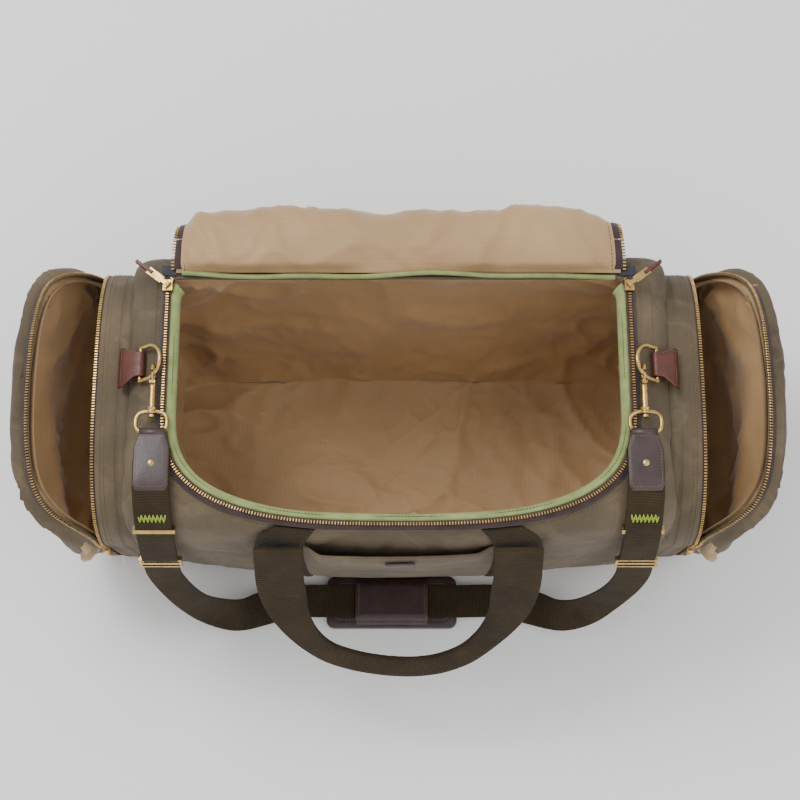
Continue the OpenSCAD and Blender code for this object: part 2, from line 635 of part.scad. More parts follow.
front_panel();
back_panel();
bottom_panel();
end_wall(3);  // left_end_wall
end_wall(1);  // right_end_wall
shoulder(3);  // left_shoulder
shoulder(1);  // right_shoulder
base_board();
cabin_lining();
color(CANVAS) place() side(-1) gusset();  // left_gusset
color(CANVAS) place() side(1) gusset();  // right_gusset
color(LINING) place() side(-1) pocket_lining();  // left_pocket_lining
color(LINING) place() side(1) pocket_lining();  // right_pocket_lining
pocket_zips();
slip_pocket();
handle_bands();
mouth_binding();
mouth_tape();
mouth_teeth();
zip_end_tabs();
dring_anchors();
lid_rear();
lid_rear_lining();
lid_rear_zip();
lid_front();
lid_front_lining();
lid_front_zip();
color(CANVAS) cap_place(-1) cap_shell();  // left_cap
color(CANVAS) cap_place(1) cap_shell();  // right_cap
color(LINING) cap_place(-1) cap_liner();  // left_cap_lining
color(LINING) cap_place(1) cap_liner();  // right_cap_lining
color(BRASS) cap_place(-1) pocket_chain(cap_x + 0.6);  // left_cap_zip
color(BRASS) cap_place(1) pocket_chain(cap_x + 0.6);  // right_cap_zip
color(BRASS) slider_place(-1) slider();  // left_slider
color(BRASS) slider_place(1) slider();  // right_slider
color(BRASS) slider_place(-1) pull_place() pull_tab();  // left_pull
color(BRASS) slider_place(1) pull_place() pull_tab();  // right_pull
color(LEATHER) slider_place(-1) pull_place() lace();  // left_lace
color(LEATHER) slider_place(1) pull_place() lace();  // right_lace
color(BRASS) pocket_slider_place(-1) pocket_slider();  // left_pocket_slider
color(BRASS) pocket_slider_place(1) pocket_slider();  // right_pocket_slider
color(LEATHER) pocket_slider_place(-1) pocket_pull();  // left_pocket_pull
color(LEATHER) pocket_slider_place(1) pocket_pull();  // right_pocket_pull
dring(-1);  // left_dring
dring(1);  // right_dring
color(BRASS) hook_place(-1) hook();  // left_hook
color(BRASS) hook_place(1) hook();  // right_hook
color(BRASS) hook_place(-1) gate();  // left_gate
color(BRASS) hook_place(1) gate();  // right_gate
strap_webbing();
strap_tabs();
strap_rivets();
strap_rings();
strap_loops();
color(BRASS) on_strap(-1, 5) glide();  // left_glide
color(BRASS) on_strap(1, 5) glide();  // right_glide
shoulder_pad();
pad_bridge();
front_handle();
rear_handle();
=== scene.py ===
"""Looks of the waxed-canvas duffel bag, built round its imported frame. Metres, +Z up, -Y the front."""
import json
import math

import bpy
import numpy as np
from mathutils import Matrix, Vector, noise

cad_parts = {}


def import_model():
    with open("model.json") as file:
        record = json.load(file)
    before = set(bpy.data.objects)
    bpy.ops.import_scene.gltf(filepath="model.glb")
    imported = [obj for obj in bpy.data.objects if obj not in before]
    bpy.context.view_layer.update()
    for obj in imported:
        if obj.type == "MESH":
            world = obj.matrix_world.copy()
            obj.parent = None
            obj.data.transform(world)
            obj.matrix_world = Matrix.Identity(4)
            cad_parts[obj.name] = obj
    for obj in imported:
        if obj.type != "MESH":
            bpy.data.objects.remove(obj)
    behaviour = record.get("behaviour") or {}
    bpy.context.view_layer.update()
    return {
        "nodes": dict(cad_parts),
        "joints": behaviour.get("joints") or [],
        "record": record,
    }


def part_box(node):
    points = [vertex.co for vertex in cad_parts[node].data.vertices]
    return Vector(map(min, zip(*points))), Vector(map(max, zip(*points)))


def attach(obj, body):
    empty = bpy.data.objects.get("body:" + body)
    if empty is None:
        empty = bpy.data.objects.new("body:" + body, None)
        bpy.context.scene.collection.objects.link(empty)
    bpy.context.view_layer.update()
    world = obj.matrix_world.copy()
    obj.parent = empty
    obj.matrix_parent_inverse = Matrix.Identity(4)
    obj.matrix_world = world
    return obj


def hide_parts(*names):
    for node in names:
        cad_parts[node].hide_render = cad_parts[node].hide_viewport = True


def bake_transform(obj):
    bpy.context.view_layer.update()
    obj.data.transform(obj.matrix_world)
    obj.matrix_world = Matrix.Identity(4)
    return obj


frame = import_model()
JOINT = {j["name"]: j for j in frame["joints"]}
MM = 0.001

# ---- driving sizes, as in the frame ----
hinge = JOINT["lid_hinge"]["pos_m"]
MOUTH_F, MOUTH_B = 0.132, 0.140
SHIFT = hinge[1] - MOUTH_B - 0.004          # the mouth's middle from the origin
BODY_A, BODY_D, BODY_H = 0.290, 0.325, 0.285
MOUTH_A = 0.243
LEVELS = np.array([
    [0.010, 0.905, 0.271, 0.385, 9, 9, 0.10, 0.04],
    [0.050, 0.955, 0.320, 0.430, 14, 14, 0.12, 0.04],
    [0.210, 0.985, 0.382, 0.492, 20, 20, 0.16, -0.02],
    [0.455, 1.000, 0.425, 0.529, 20, 20, 0.18, -0.03],
    [0.700, 1.000, 0.452, 0.548, 20, 20, 0.20, -0.03],
    [0.860, 0.990, 0.449, 0.545, 14, 20, 0.18, -0.03],
    [0.945, 0.945, 0.434, 0.503, 6, 30, 0.13, 0.02],
    [1.000, MOUTH_A / BODY_A, MOUTH_F / BODY_D, MOUTH_B / BODY_D, 3, 40, 0.02, 0]])
TOP = len(LEVELS) - 1
POCKET_Y, FLANK_Z, FLANK_W, ARCH_H, ARCH_N, FOOT_W = 0.036, 0.150, 0.148, 0.106, 2.7, 0.120
CAP_D = 0.044
RIM_X = 0.3205
CAP_GAP = 0.0008
CAP_HINGE = JOINT["right_cap_hinge"]["pos_m"]
CAP_OPEN = math.radians(-JOINT["right_cap_hinge"]["range_deg"][0])
STRAP_W, WEB_T, HANDLE_W = 0.038, 0.0022, 0.050
BAND_X = 0.122


def srgb(r, g, b):
    """Linear colour of a display colour given in 0 to 255."""
    return tuple((c / 255 / 12.92) if c < 11 else ((c / 255 + 0.055) / 1.055) ** 2.4 for c in (r, g, b)) + (1.0,)


# ---- meshes ----

def make(name, verts, faces, mat, body=None, uvs=None, smooth=True):
    me = bpy.data.meshes.new(name)
    me.from_pydata([tuple(v) for v in verts], [], faces)
    me.update()
    if uvs is not None:
        layer = me.uv_layers.new(name="UVMap")
        idx = np.empty(len(me.loops), dtype=np.int32)
        me.loops.foreach_get("vertex_index", idx)
        layer.data.foreach_set("uv", np.asarray(uvs, dtype=np.float32)[idx].ravel())
    if smooth:
        me.polygons.foreach_set("use_smooth", [True] * len(me.polygons))
    ob = bpy.data.objects.new(name, me)
    bpy.context.scene.collection.objects.link(ob)
    me.materials.append(mat)
    if body:
        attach(ob, body)
    return ob


def grid_faces(rows, cols, wrap=False, start=0, flip=False):
    out = []
    for i in range(rows - 1):
        for j in range(cols - (0 if wrap else 1)):
            a, b = start + i * cols + j, start + i * cols + (j + 1) % cols
            quad = (a, b, b + cols, a + cols)
            out.append(quad[::-1] if flip else quad)
    return out


def grid_uv(grid):
    """Distances in metres along the rows and the columns of a grid of points."""
    g = np.asarray(grid)
    u = np.zeros(g.shape[:2])
    v = np.zeros(g.shape[:2])
    u[:, 1:] = np.cumsum(np.linalg.norm(np.diff(g, axis=1), axis=2), axis=1)
    v[1:] = np.cumsum(np.linalg.norm(np.diff(g, axis=0), axis=2), axis=0)
    u = np.tile(u[len(g) // 2], (len(g), 1))
    v = np.tile(v[:, g.shape[1] // 2][:, None], (1, g.shape[1]))
    return np.stack([u, v], axis=2).reshape(-1, 2)


def grid_normals(g, wrap=False):
    du = (np.roll(g, -1, 1) - np.roll(g, 1, 1)) if wrap else np.gradient(g, axis=1)
    n = np.cross(du, np.gradient(g, axis=0))
    size = np.linalg.norm(n, axis=2, keepdims=True)
    return n / np.maximum(size, 1e-12)


def sheet_mesh(name, grid, mat, body, wrap=False, thick=0.0, flip=False, offset=-1.0):
    """A grid of points as one surface, with real thickness if asked."""
    g = np.asarray(grid)
    if wrap:
        uv = grid_uv(np.concatenate([g, g[:, :1]], axis=1)).reshape(g.shape[0], -1, 2)[:, :-1].reshape(-1, 2)
    else:
        uv = grid_uv(g)
    ob = make(name, g.reshape(-1, 3), grid_faces(g.shape[0], g.shape[1], wrap, flip=flip), mat, body, uv)
    if thick:
        mod = ob.modifiers.new("thickness", "SOLIDIFY")
        mod.thickness = thick
        mod.offset = offset
    return ob


def spline(points, n):
    """n points of a Catmull-Rom curve through the given ones, evenly spaced in length."""
    p = np.asarray(points, dtype=float)
    p = np.vstack([2 * p[0] - p[1], p, 2 * p[-1] - p[-2]])
    out = []
    for i in range(1, len(p) - 2):
        t = np.linspace(0, 1, 24, endpoint=False)[:, None]
        a, b, c, d = p[i - 1:i + 3]
        out.append(0.5 * (2 * b + (c - a) * t + (2 * a - 5 * b + 4 * c - d) * t ** 2 + (3 * b - a - 3 * c + d) * t ** 3))
    out = np.vstack(out + [p[-2:-1]])
    return even(out, n)


def even(path, n):
    """The path resampled to n points evenly spaced in length."""
    path = np.asarray(path, dtype=float)
    s = np.concatenate([[0], np.cumsum(np.linalg.norm(np.diff(path[:, :3], axis=0), axis=1))])
    t = np.linspace(0, s[-1], n)
    return np.stack([np.interp(t, s, path[:, k]) for k in range(path.shape[1])], axis=1)


def length_of(path):
    return float(np.linalg.norm(np.diff(np.asarray(path), axis=0), axis=1).sum())


def tangents(path, closed=False):
    t = np.roll(path, -1, 0) - np.roll(path, 1, 0) if closed else np.gradient(path, axis=0)
    return t / np.maximum(np.linalg.norm(t, axis=1, keepdims=True), 1e-12)


def unit(v):
    v = np.asarray(v, dtype=float)
    return v / np.maximum(np.linalg.norm(v, axis=-1, keepdims=True), 1e-12)


def ribbon(name, centre, side, width, thick, mat, body):
    """A flat band: its middle line, the direction across it, and its width and thickness at each point."""
    c = np.asarray(centre)
    t = tangents(c)
    s = unit(side - t * (side * t).sum(1, keepdims=True))
    n = np.cross(t, s)
    w = np.broadcast_to(np.asarray(width, dtype=float), (len(c),))[:, None] / 2
    h = np.broadcast_to(np.asarray(thick, dtype=float), (len(c),))[:, None] / 2
    profile = [(-1, 0), (-0.985, 0.75), (-0.93, 1), (-0.5, 1.06), (0, 1.08), (0.5, 1.06), (0.93, 1), (0.985, 0.75),
               (1, 0), (0.985, -0.75), (0.93, -1), (0.5, -1), (0, -1), (-0.5, -1), (-0.93, -1), (-0.985, -0.75)]
    g = np.stack([c + s * w * a + n * h * b for a, b in profile], axis=1)
    rows, cols = g.shape[:2]
    along = np.concatenate([[0], np.cumsum(np.linalg.norm(np.diff(c, axis=0), axis=1))])
    uv = np.array([[w[i, 0] * profile[j][0], along[i]] for i in range(rows) for j in range(cols)])
    faces = grid_faces(rows, cols, True)
    faces += [tuple(range(cols))[::-1], tuple((rows - 1) * cols + k for k in range(cols))]
    return make(name, g.reshape(-1, 3), faces, mat, body, uv)


def tube_grid(path, radius, sides=10, closed=False):
    t = tangents(path, closed)
    up = np.array([0.13, 0.21, 0.97])
    s = unit(np.cross(t, up))
    n = np.cross(t, s)
    r = np.broadcast_to(np.asarray(radius, dtype=float), (len(path),))[:, None]
    return np.stack([path + (s * math.cos(a) + n * math.sin(a)) * r
                     for a in np.linspace(0, 2 * math.pi, sides, endpoint=False)], axis=1)


def tube(name, path, radius, mat, body, sides=10, closed=False):
    g = tube_grid(np.asarray(path), radius, sides, closed)
    rows, cols = g.shape[:2]
    faces = grid_faces(rows, cols, True)
    if closed:
        last = (rows - 1) * cols
        faces += [(last + j, last + (j + 1) % cols, (j + 1) % cols, j) for j in range(cols)]
    else:
        faces += [tuple(range(cols))[::-1], tuple((rows - 1) * cols + k for k in range(cols))]
    return make(name, g.reshape(-1, 3), faces, mat, body)


def blocks(name, shape, faces, places, mat, body, smooth=False):
    """Copies of one small shape, each in its own frame (origin, x, y, z), joined as one piece."""
    shape = np.asarray(shape)
    verts, out = [], []
    for k, (o, x, y, z) in enumerate(places):
        verts.append(o + shape @ np.array([x, y, z]))
        out += [tuple(i + k * len(shape) for i in f) for f in faces]
    return make(name, np.vstack(verts), out, mat, body, smooth=smooth)


STITCH = [(-1, 0, 0), (-0.6, 1, 0), (-0.6, 0, 1), (-0.6, -1, 0), (0.6, 1, 0), (0.6, 0, 1), (0.6, -1, 0), (1, 0, 0)]
STITCH_FACES = [(0, 2, 1), (0, 3, 2), (1, 2, 5, 4), (2, 3, 6, 5), (4, 5, 7), (5, 6, 7), (0, 1, 3), (1, 4, 6, 3), (4, 7, 6)]


def stitches(name, path, normal, mat, body, pitch=0.0042, r=0.00042):
    """A row of thread stitches that stand a little out of the cloth along a path."""
    n = max(2, int(length_of(path) / pitch))
    both = even(np.hstack([path, normal]), n + 1)
    p, nn = both[:, :3], unit(both[:, 3:])
    t = tangents(p)
    shape = np.array(STITCH) * [pitch * 0.40, r, r]
    places = [(p[i], t[i], np.cross(nn[i], t[i]), nn[i]) for i in range(len(p))]
    return blocks(name, shape, STITCH_FACES, places, mat, body)


def tooth_shape(w, l, h):
    """One zip tooth: a stepped block with a narrower nose."""
    pts = []
    for z, k in ((0, 1.0), (h * 0.7, 1.0), (h, 0.72)):
        pts += [(-l / 2 * k, -w / 2, z), (l / 2 * k, -w / 2, z), (l / 2 * k, w * 0.2, z), (l * 0.28 * k, w / 2 * k, z),
                (-l * 0.28 * k, w / 2 * k, z), (-l / 2 * k, w * 0.2, z)]
    faces = [(5, 4, 3, 2, 1, 0), (12, 13, 14, 15, 16, 17)]
    faces += [(s + i, s + (i + 1) % 6, s + 6 + (i + 1) % 6, s + 6 + i) for s in (0, 6) for i in range(6)]
    return pts, faces


TOOTH_PITCH = 0.0030


def teeth(name, path, up, nose, body, w=0.0036, h=0.0022):
    """A row of brass teeth along a path: up stands off the tape, nose points across to the other chain."""
    n = max(2, int(round(length_of(path) / TOOTH_PITCH)))
    both = even(np.hstack([path, up, nose]), n)
    p, t = both[:, :3], tangents(both[:, :3])
    nn = unit(both[:, 3:6])
    side = unit(both[:, 6:9] - t * (both[:, 6:9] * t).sum(1, keepdims=True))
    pts, faces = tooth_shape(w, TOOTH_PITCH * 0.56, h)
    places = [(p[i], t[i], side[i], nn[i]) for i in range(n)]
    return blocks(name, pts, faces, places, MAT["brass"], body)


def area_of(grid):
    """Area in square metres of a grid of points."""
    g = np.asarray(grid)
    a, b = g[1:, 1:] - g[:-1, :-1], g[1:, :-1] - g[:-1, 1:]
    return float(np.linalg.norm(np.cross(a, b), axis=2).sum() / 2)


def cloth(width, length, area=None):
    """Works out a sheet's flat cut, scaled up by area where the cut is no rectangle; the result is not kept or used."""
    if area is not None:
        k = max(1.0, math.sqrt(area / (width * length)))
        width, length = width * k * 1.001, length * k * 1.001


# ---- noise for folds ----

def fbm(p, scale, octaves=3, seed=0.0):
    v = Vector((p[0] * scale + seed, p[1] * scale - seed * 0.7, p[2] * scale + seed * 1.3))
    return noise.fractal(v, 0.9, 2.1, octaves)


def creased(p, scale, seed=0.0, warp=0.35):
    """0 on soft panels, rising to 1 along sharp crease lines."""
    v = Vector((p[0] * scale + seed, p[1] * scale + seed * 0.6, p[2] * scale - seed))
    w = noise.noise_vector(v * 0.6) * warp * 2
    a = 1 - abs(noise.noise(v + w)) * 2.2
    b = 1 - abs(noise.noise((v + w) * 2.3 + Vector((7, 3, 5)))) * 2.4
    return max(0, a) ** 3 * 0.7 + max(0, b) ** 3 * 0.3


def fold_field(points, scale, seed, warp=0.35):
    flat = points.reshape(-1, 3)
    return np.array([creased(p, scale, seed, warp) for p in flat]).reshape(points.shape[:-1])


def soft_field(points, scale, seed, octaves=3):
    flat = points.reshape(-1, 3)
    return np.array([fbm(p, scale, octaves, seed) for p in flat]).reshape(points.shape[:-1])


def smoothstep(x):
    x = np.clip(x, 0, 1)
    return x * x * (3 - 2 * x)


# ---- materials ----

class Shade:
    """Builds one node material: calls add nodes, sockets link them."""

    def __init__(self, name, rough=0.6, metal=0.0, **fixed):
        self.m = bpy.data.materials.new(name)
        self.m.use_nodes = True
        self.t = self.m.node_tree
        self.b = self.t.nodes["Principled BSDF"]
        self.b.inputs["Roughness"].default_value = rough
        self.b.inputs["Metallic"].default_value = metal
        for key, value in fixed.items():
            self.b.inputs[key.replace("_", " ")].default_value = value
        co = self.t.nodes.new("ShaderNodeTexCoord")
        self.uv, self.ob = co.outputs["UV"], co.outputs["Object"]

    def put(self, node, key, value):
        socket = node.inputs[key]
        if isinstance(value, bpy.types.NodeSocket):
            self.t.links.new(value, socket)
        else:
            socket.default_value = value

    def noise(self, scale, detail=4, rough=0.55, distort=0.0, co=None):
        n = self.t.nodes.new("ShaderNodeTexNoise")
        self.put(n, "Vector", co or self.ob)
        for key, value in (("Scale", scale), ("Detail", detail), ("Roughness", rough), ("Distortion", distort)):
            self.put(n, key, value)
        return n.outputs["Fac"]

    def wave(self, period, axis="X", distort=0.0, co=None, detail=0.0):
        n = self.t.nodes.new("ShaderNodeTexWave")
        n.bands_direction = axis
        self.put(n, "Vector", co or self.uv)
        for key, value in (("Scale", math.pi / 10 / period), ("Distortion", distort), ("Detail", detail),
                           ("Detail Scale", 1.5)):
            self.put(n, key, value)
        return n.outputs["Fac"]

    def ramp(self, fac, stops):
        n = self.t.nodes.new("ShaderNodeValToRGB")
        self.put(n, "Fac", fac)
        el = n.color_ramp.elements
        while len(el) < len(stops):
            el.new(0.5)
        for e, (pos, col) in zip(el, stops):
            e.position = pos
            e.color = col if len(col) == 4 else tuple(col) + (1,)
        return n.outputs["Color"]

    def mix(self, fac, a, b, mode="MIX"):
        n = self.t.nodes.new("ShaderNodeMix")
        n.data_type = "RGBA"
        n.blend_type = mode
        self.put(n, 0, fac)
        self.put(n, 6, a)
        self.put(n, 7, b)
        return n.outputs[2]

    def calc(self, op, a, b=0.0):
        n = self.t.nodes.new("ShaderNodeMath")
        n.operation = op
        self.put(n, 0, a)
        self.put(n, 1, b)
        return n.outputs[0]

    def finish(self, colour, height=None, strength=0.4, distance=0.0006, rough=None):
        self.put(self.b, "Base Color", colour)
        if rough is not None:
            self.put(self.b, "Roughness", rough)
        if height is not None:
            n = self.t.nodes.new("ShaderNodeBump")
            self.put(n, "Height", height)
            self.put(n, "Strength", strength)
            self.put(n, "Distance", distance)
            self.t.links.new(n.outputs["Normal"], self.b.inputs["Normal"])
        return self.m


def grey(v):
    return (v, v, v, 1)


def canvas_material():
    s = Shade("waxed_canvas", 0.74, Sheen_Weight=0.05, Sheen_Roughness=0.5)
    base = s.ramp(s.noise(7, 6, 0.62), [(0.30, srgb(72, 60, 43)), (0.52, srgb(92, 78, 57)), (0.72, srgb(111, 96, 73))])
    # lighter lines along the noise creases: partly the wax's real lighter break at folds, partly a painted highlight on
    # the crease ridges; the same lines raise the bump
    crease = s.ramp(s.noise(11, 3, 0.55, 0.5), [(0.455, grey(0)), (0.5, grey(1)), (0.545, grey(0))])
    lit = s.mix(s.calc("MULTIPLY", crease, 0.16), base, srgb(140, 123, 96))
    speck = s.ramp(s.noise(900, 2, 0.5), [(0.35, grey(0.78)), (0.65, grey(1.12))])
    col = s.mix(0.8, lit, speck, "MULTIPLY")
    weave = s.calc("ADD", s.wave(0.0011, "X", 1.0), s.wave(0.0013, "Y", 1.0))
    grain = s.calc("ADD", s.calc("MULTIPLY", weave, 0.35), s.calc("MULTIPLY", s.noise(240, 4, 0.7), 1.4))
    return s.finish(col, s.calc("ADD", grain, s.calc("MULTIPLY", crease, 0.5)), 0.55, 0.0005)


def lining_material():
    s = Shade("tan_lining", 0.46, Sheen_Weight=0.25, Sheen_Roughness=0.4, Specular_IOR_Level=0.35)
    base = s.ramp(s.noise(5, 4, 0.5), [(0.3, srgb(160, 128, 90)), (0.7, srgb(182, 149, 108))])
    weave = s.calc("ADD", s.wave(0.0007, "X", 0.6), s.wave(0.0007, "Y", 0.6))
    rib = s.ramp(s.wave(0.0052, "Y", 0.4), [(0.0, grey(0.94)), (0.6, grey(1.0))])
    col = s.mix(0.7, base, rib, "MULTIPLY")
    micro = s.calc("MULTIPLY", s.noise(60, 6, 0.65, 0.8), 3.0)
    return s.finish(col, s.calc("ADD", s.calc("MULTIPLY", weave, 0.25), micro), 0.35, 0.0005)


def webbing_material():
    s = Shade("olive_webbing", 0.88, Sheen_Weight=0.03, Specular_IOR_Level=0.25)
    rib = s.wave(0.0026, "Y", 0.7, detail=1.0)
    warp = s.wave(0.0021, "X", 0.5)
    tone = s.ramp(s.noise(26, 5, 0.6), [(0.3, srgb(46, 36, 21)), (0.7, srgb(66, 53, 32))])
    dark = s.ramp(rib, [(0.0, grey(0.62)), (0.55, grey(1.08))])
    col = s.mix(0.85, tone, dark, "MULTIPLY")
    height = s.calc("ADD", rib, s.calc("MULTIPLY", s.calc("MULTIPLY", warp, rib), 0.8))
    return s.finish(col, s.calc("ADD", height, s.calc("MULTIPLY", s.noise(700, 2), 0.5)), 0.9, 0.0008)


def leather_material(name, dark, light, rough=0.42):
    s = Shade(name, rough, Specular_IOR_Level=0.5, Coat_Weight=0.12, Coat_Roughness=0.35)
    col = s.ramp(s.noise(45, 6, 0.65), [(0.3, dark), (0.7, light)])
    pores = s.noise(1300, 3, 0.6)
    grain = s.noise(380, 5, 0.7, 0.6)
    height = s.calc("ADD", s.calc("MULTIPLY", grain, 1.0), s.calc("MULTIPLY", pores, 0.35))
    return s.finish(col, height, 0.5, 0.0005)


def brass_material():
    s = Shade("aged_brass", 0.3, 1.0)
    col = s.ramp(s.noise(120, 4, 0.6), [(0.3, srgb(172, 140, 84)), (0.55, srgb(203, 172, 112)), (0.8, srgb(222, 194, 134))])
    rough = s.ramp(s.noise(300, 4, 0.7), [(0.3, grey(0.2)), (0.75, grey(0.42))])
    return s.finish(col, s.noise(900, 3), 0.12, 0.0003, rough)


def tape_material(name, dark, light, period=0.0012):
    s = Shade(name, 0.8, Sheen_Weight=0.15)
    rib = s.wave(period, "Y", 0.5)
    col = s.mix(0.6, s.ramp(s.noise(60, 4), [(0.3, dark), (0.7, light)]), s.ramp(rib, [(0, grey(0.7)), (1, grey(1.1))]), "MULTIPLY")
    return s.finish(col, s.calc("ADD", rib, s.noise(800, 2)), 0.6, 0.0004)


def thread_material(name, colour):
    s = Shade(name, 0.7)
    col = s.ramp(s.noise(500, 2), [(0.3, tuple(c * 0.8 for c in colour[:3]) + (1,)), (0.7, colour)])
    return s.finish(col, s.noise(2500, 2), 0.4, 0.0003)


def floor_material():
    s = Shade("pale_floor", 0.9)
    col = s.ramp(s.noise(1.5, 2), [(0.3, grey(0.90)), (0.7, grey(0.92))])
    return s.finish(col)


MAT = {
    "canvas": canvas_material(), "lining": lining_material(), "webbing": webbing_material(),
    "leather": leather_material("red_brown_leather", srgb(66, 28, 22), srgb(100, 48, 36)),
    "tab_leather": leather_material("plum_leather", srgb(47, 33, 34), srgb(68, 49, 49), 0.38),
    "brass": brass_material(),
    "binding": tape_material("green_binding", srgb(128, 142, 78), srgb(160, 172, 108)),
    "zip_tape": tape_material("plum_tape", srgb(44, 26, 28), srgb(66, 42, 44)),
    "slate": tape_material("slate_tab", srgb(40, 42, 50), srgb(62, 64, 72)),
    "board": leather_material("base_board", srgb(50, 46, 40), srgb(70, 64, 56), 0.8),
    "thread": thread_material("canvas_thread", srgb(118, 98, 68)),
    "dark_thread": thread_material("dark_thread", srgb(60, 48, 40)),
    "green_thread": thread_material("green_thread", srgb(150, 170, 60)),
    "floor": floor_material()}
for node in frame["record"]["subparts"]:
    ob = frame["nodes"][node["node"]]
    ob.data.materials.clear()
    ob.data.materials.append(MAT[node["material_slot"]])


# ---- body shell ----

def levels_at(t):
    """Level values at fractional places, along a smooth curve through the levels."""
    t = np.clip(np.atleast_1d(np.asarray(t, dtype=float)), 0, TOP)
    i = np.minimum(t.astype(int), TOP - 1)
    f = (t - i)[:, None]
    row = lambda k: LEVELS[np.clip(k, 0, TOP)]
    m0 = (row(i + 1) - row(i - 1)) / 2
    m1 = (row(i + 2) - row(i)) / 2
    return ((2 * f ** 3 - 3 * f ** 2 + 1) * row(i) + (f ** 3 - 2 * f ** 2 + f) * m0
            + (3 * f ** 2 - 2 * f ** 3) * row(i + 1) + (f ** 3 - f ** 2) * m1)


def side_dirs(side, n, start=-1.0, end=1.0):
    t = np.linspace(start, end, n)
    one = np.ones(n)
    return {0: np.stack([t, -one], 1), 1: np.stack([one, t], 1), 2: np.stack([-t, one], 1), 3: np.stack([-one, -t], 1)}[side]


def loop_dirs(n_long, n_end):
    return np.vstack([side_dirs(s, (n_long if s % 2 == 0 else n_end) + 1)[:-1] for s in range(4)])


def shell(ts, dirs, inset=0.0):
    """Points of the body shell: rows at levels ts, columns in the given directions."""
    lv = levels_at(ts)
    dx, dy = dirs[:, 0][None], dirs[:, 1][None]
    front = dy < 0
    n = np.where(front, lv[:, 4:5], lv[:, 5:6])
    g = (np.abs(dx) ** n + np.abs(dy) ** n) ** (-1 / n)
    inset = np.broadcast_to(np.asarray(inset, dtype=float), (len(lv),))[:, None]
    a = BODY_A * lv[:, 1:2] - inset
    b = BODY_D * np.where(front, lv[:, 2:3], lv[:, 3:4]) - inset
    barrel = np.where(front, lv[:, 6:7], lv[:, 7:8])
    x = a * dx * g
    y = b * dy * g * (1 - barrel * (dx * g) ** 2) + SHIFT
    return np.stack([x, y, np.broadcast_to(BODY_H * lv[:, 0:1], x.shape)], axis=2)


def body_canvas():
    ts = np.linspace(0, TOP, 60)
    dirs = loop_dirs(120, 56)
    g = shell(ts, dirs)
    n = grid_normals(g, True)
    calm = (smoothstep((TOP - ts) / 0.8) * smoothstep(ts / 0.8))[:, None]
    soft = soft_field(g, 7.0, 3.1)
    crease = fold_field(g, 13.0, 1.7)
    bulge = (0.0035 * soft - 0.0032 * crease) * calm
    g = g + n * bulge[..., None]
    mid = np.array([0, SHIFT + 0.015])
    bottom = []
    for k in (0.03, 0.5, 0.8, 0.955):
        ring = g[0].copy()
        ring[:, :2] = mid + (ring[:, :2] - mid) * k
        ring[:, 2] = 0.0004
        bottom.append(ring)
    lip = [shell([TOP], dirs, 0.0012)[0] + [0, 0, 0.0004], shell([TOP], dirs, 0.0026)[0],
           shell([TOP - 0.3], dirs, 0.0026)[0], shell([TOP - 0.8], dirs, 0.0026)[0]]
    grid = np.stack(bottom + list(g) + lip)
    ob = sheet_mesh("body_canvas", grid, MAT["canvas"], "root", wrap=True)
    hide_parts("front_panel", "back_panel", "bottom_panel", "left_end_wall", "right_end_wall",
                "left_shoulder", "right_shoulder")
    cloth(1.18, 0.92, 0.76)


def cabin_lining():
    dirs = loop_dirs(130, 70)
    ts = np.concatenate([np.linspace(TOP, TOP - 1, 14)[:-1], np.linspace(TOP - 1, 1, 60)])
    inset = 0.0034 + 0.010 * smoothstep((TOP - ts) / 1.6)
    g = shell(ts, dirs, inset)
    mid = np.array([0, SHIFT + 0.02, 0.0])
    base = g[-1]
    floor = []
    for k in np.linspace(0.97, 0.001, 44):
        ring = mid + (base - mid) * [k, k, 0]
        ring[:, 2] = 0.0105 + 0.004 * k ** 8
        floor.append(ring)
    grid = np.concatenate([g, np.stack(floor)])
    rows = len(grid)
    n = -grid_normals(grid, True)
    inward = np.where((n * (mid + [0, 0, 0.15] - grid)).sum(2, keepdims=True) < 0, -n, n)
    calm = smoothstep(np.arange(rows) / 14)[:, None]
    soft = soft_field(grid, 5.5, 8.2)
    fine = fold_field(grid, 9.5, 4.4, 0.5)
    tiny = fold_field(grid, 24.0, 9.9, 0.6)
    ends = smoothstep((np.abs(grid[..., 0]) - 0.12) / 0.12)
    walls = smoothstep((grid[..., 2] - 0.012) / 0.03)
    amount = (0.006 + 0.010 * ends * walls + 0.004 * walls) * (0.5 + soft) + (0.006 + 0.008 * ends) * fine + 0.0018 * tiny
    push = np.clip(amount, 0.0, 0.03) * calm
    grid = grid + inward * push[..., None]
    ob = sheet_mesh("cabin_lining_cloth", grid, MAT["lining"], "root", wrap=True, flip=True)
    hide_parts("cabin_lining", "base_board")
    cloth(1.08, 0.81, 0.62)


# ---- mouth: binding, tape, teeth and stitching ----

def mouth_path(inset, z, start=-1.0, t=TOP, n=240):
    """The mouth's edge from its left rear corner round the front to its right rear corner."""
    dirs = np.vstack([side_dirs(3, n // 3, -1, 1), side_dirs(0, n)[1:], side_dirs(1, n // 3)[1:]])
    p = shell([t], dirs, inset)[0]
    p[:, 2] = z
    return even(p, 2 * n)


def strip(name, rails, mat, body, thick=0.0008):
    return sheet_mesh(name, np.stack(rails, axis=0), mat, body, thick=thick, offset=0.0)


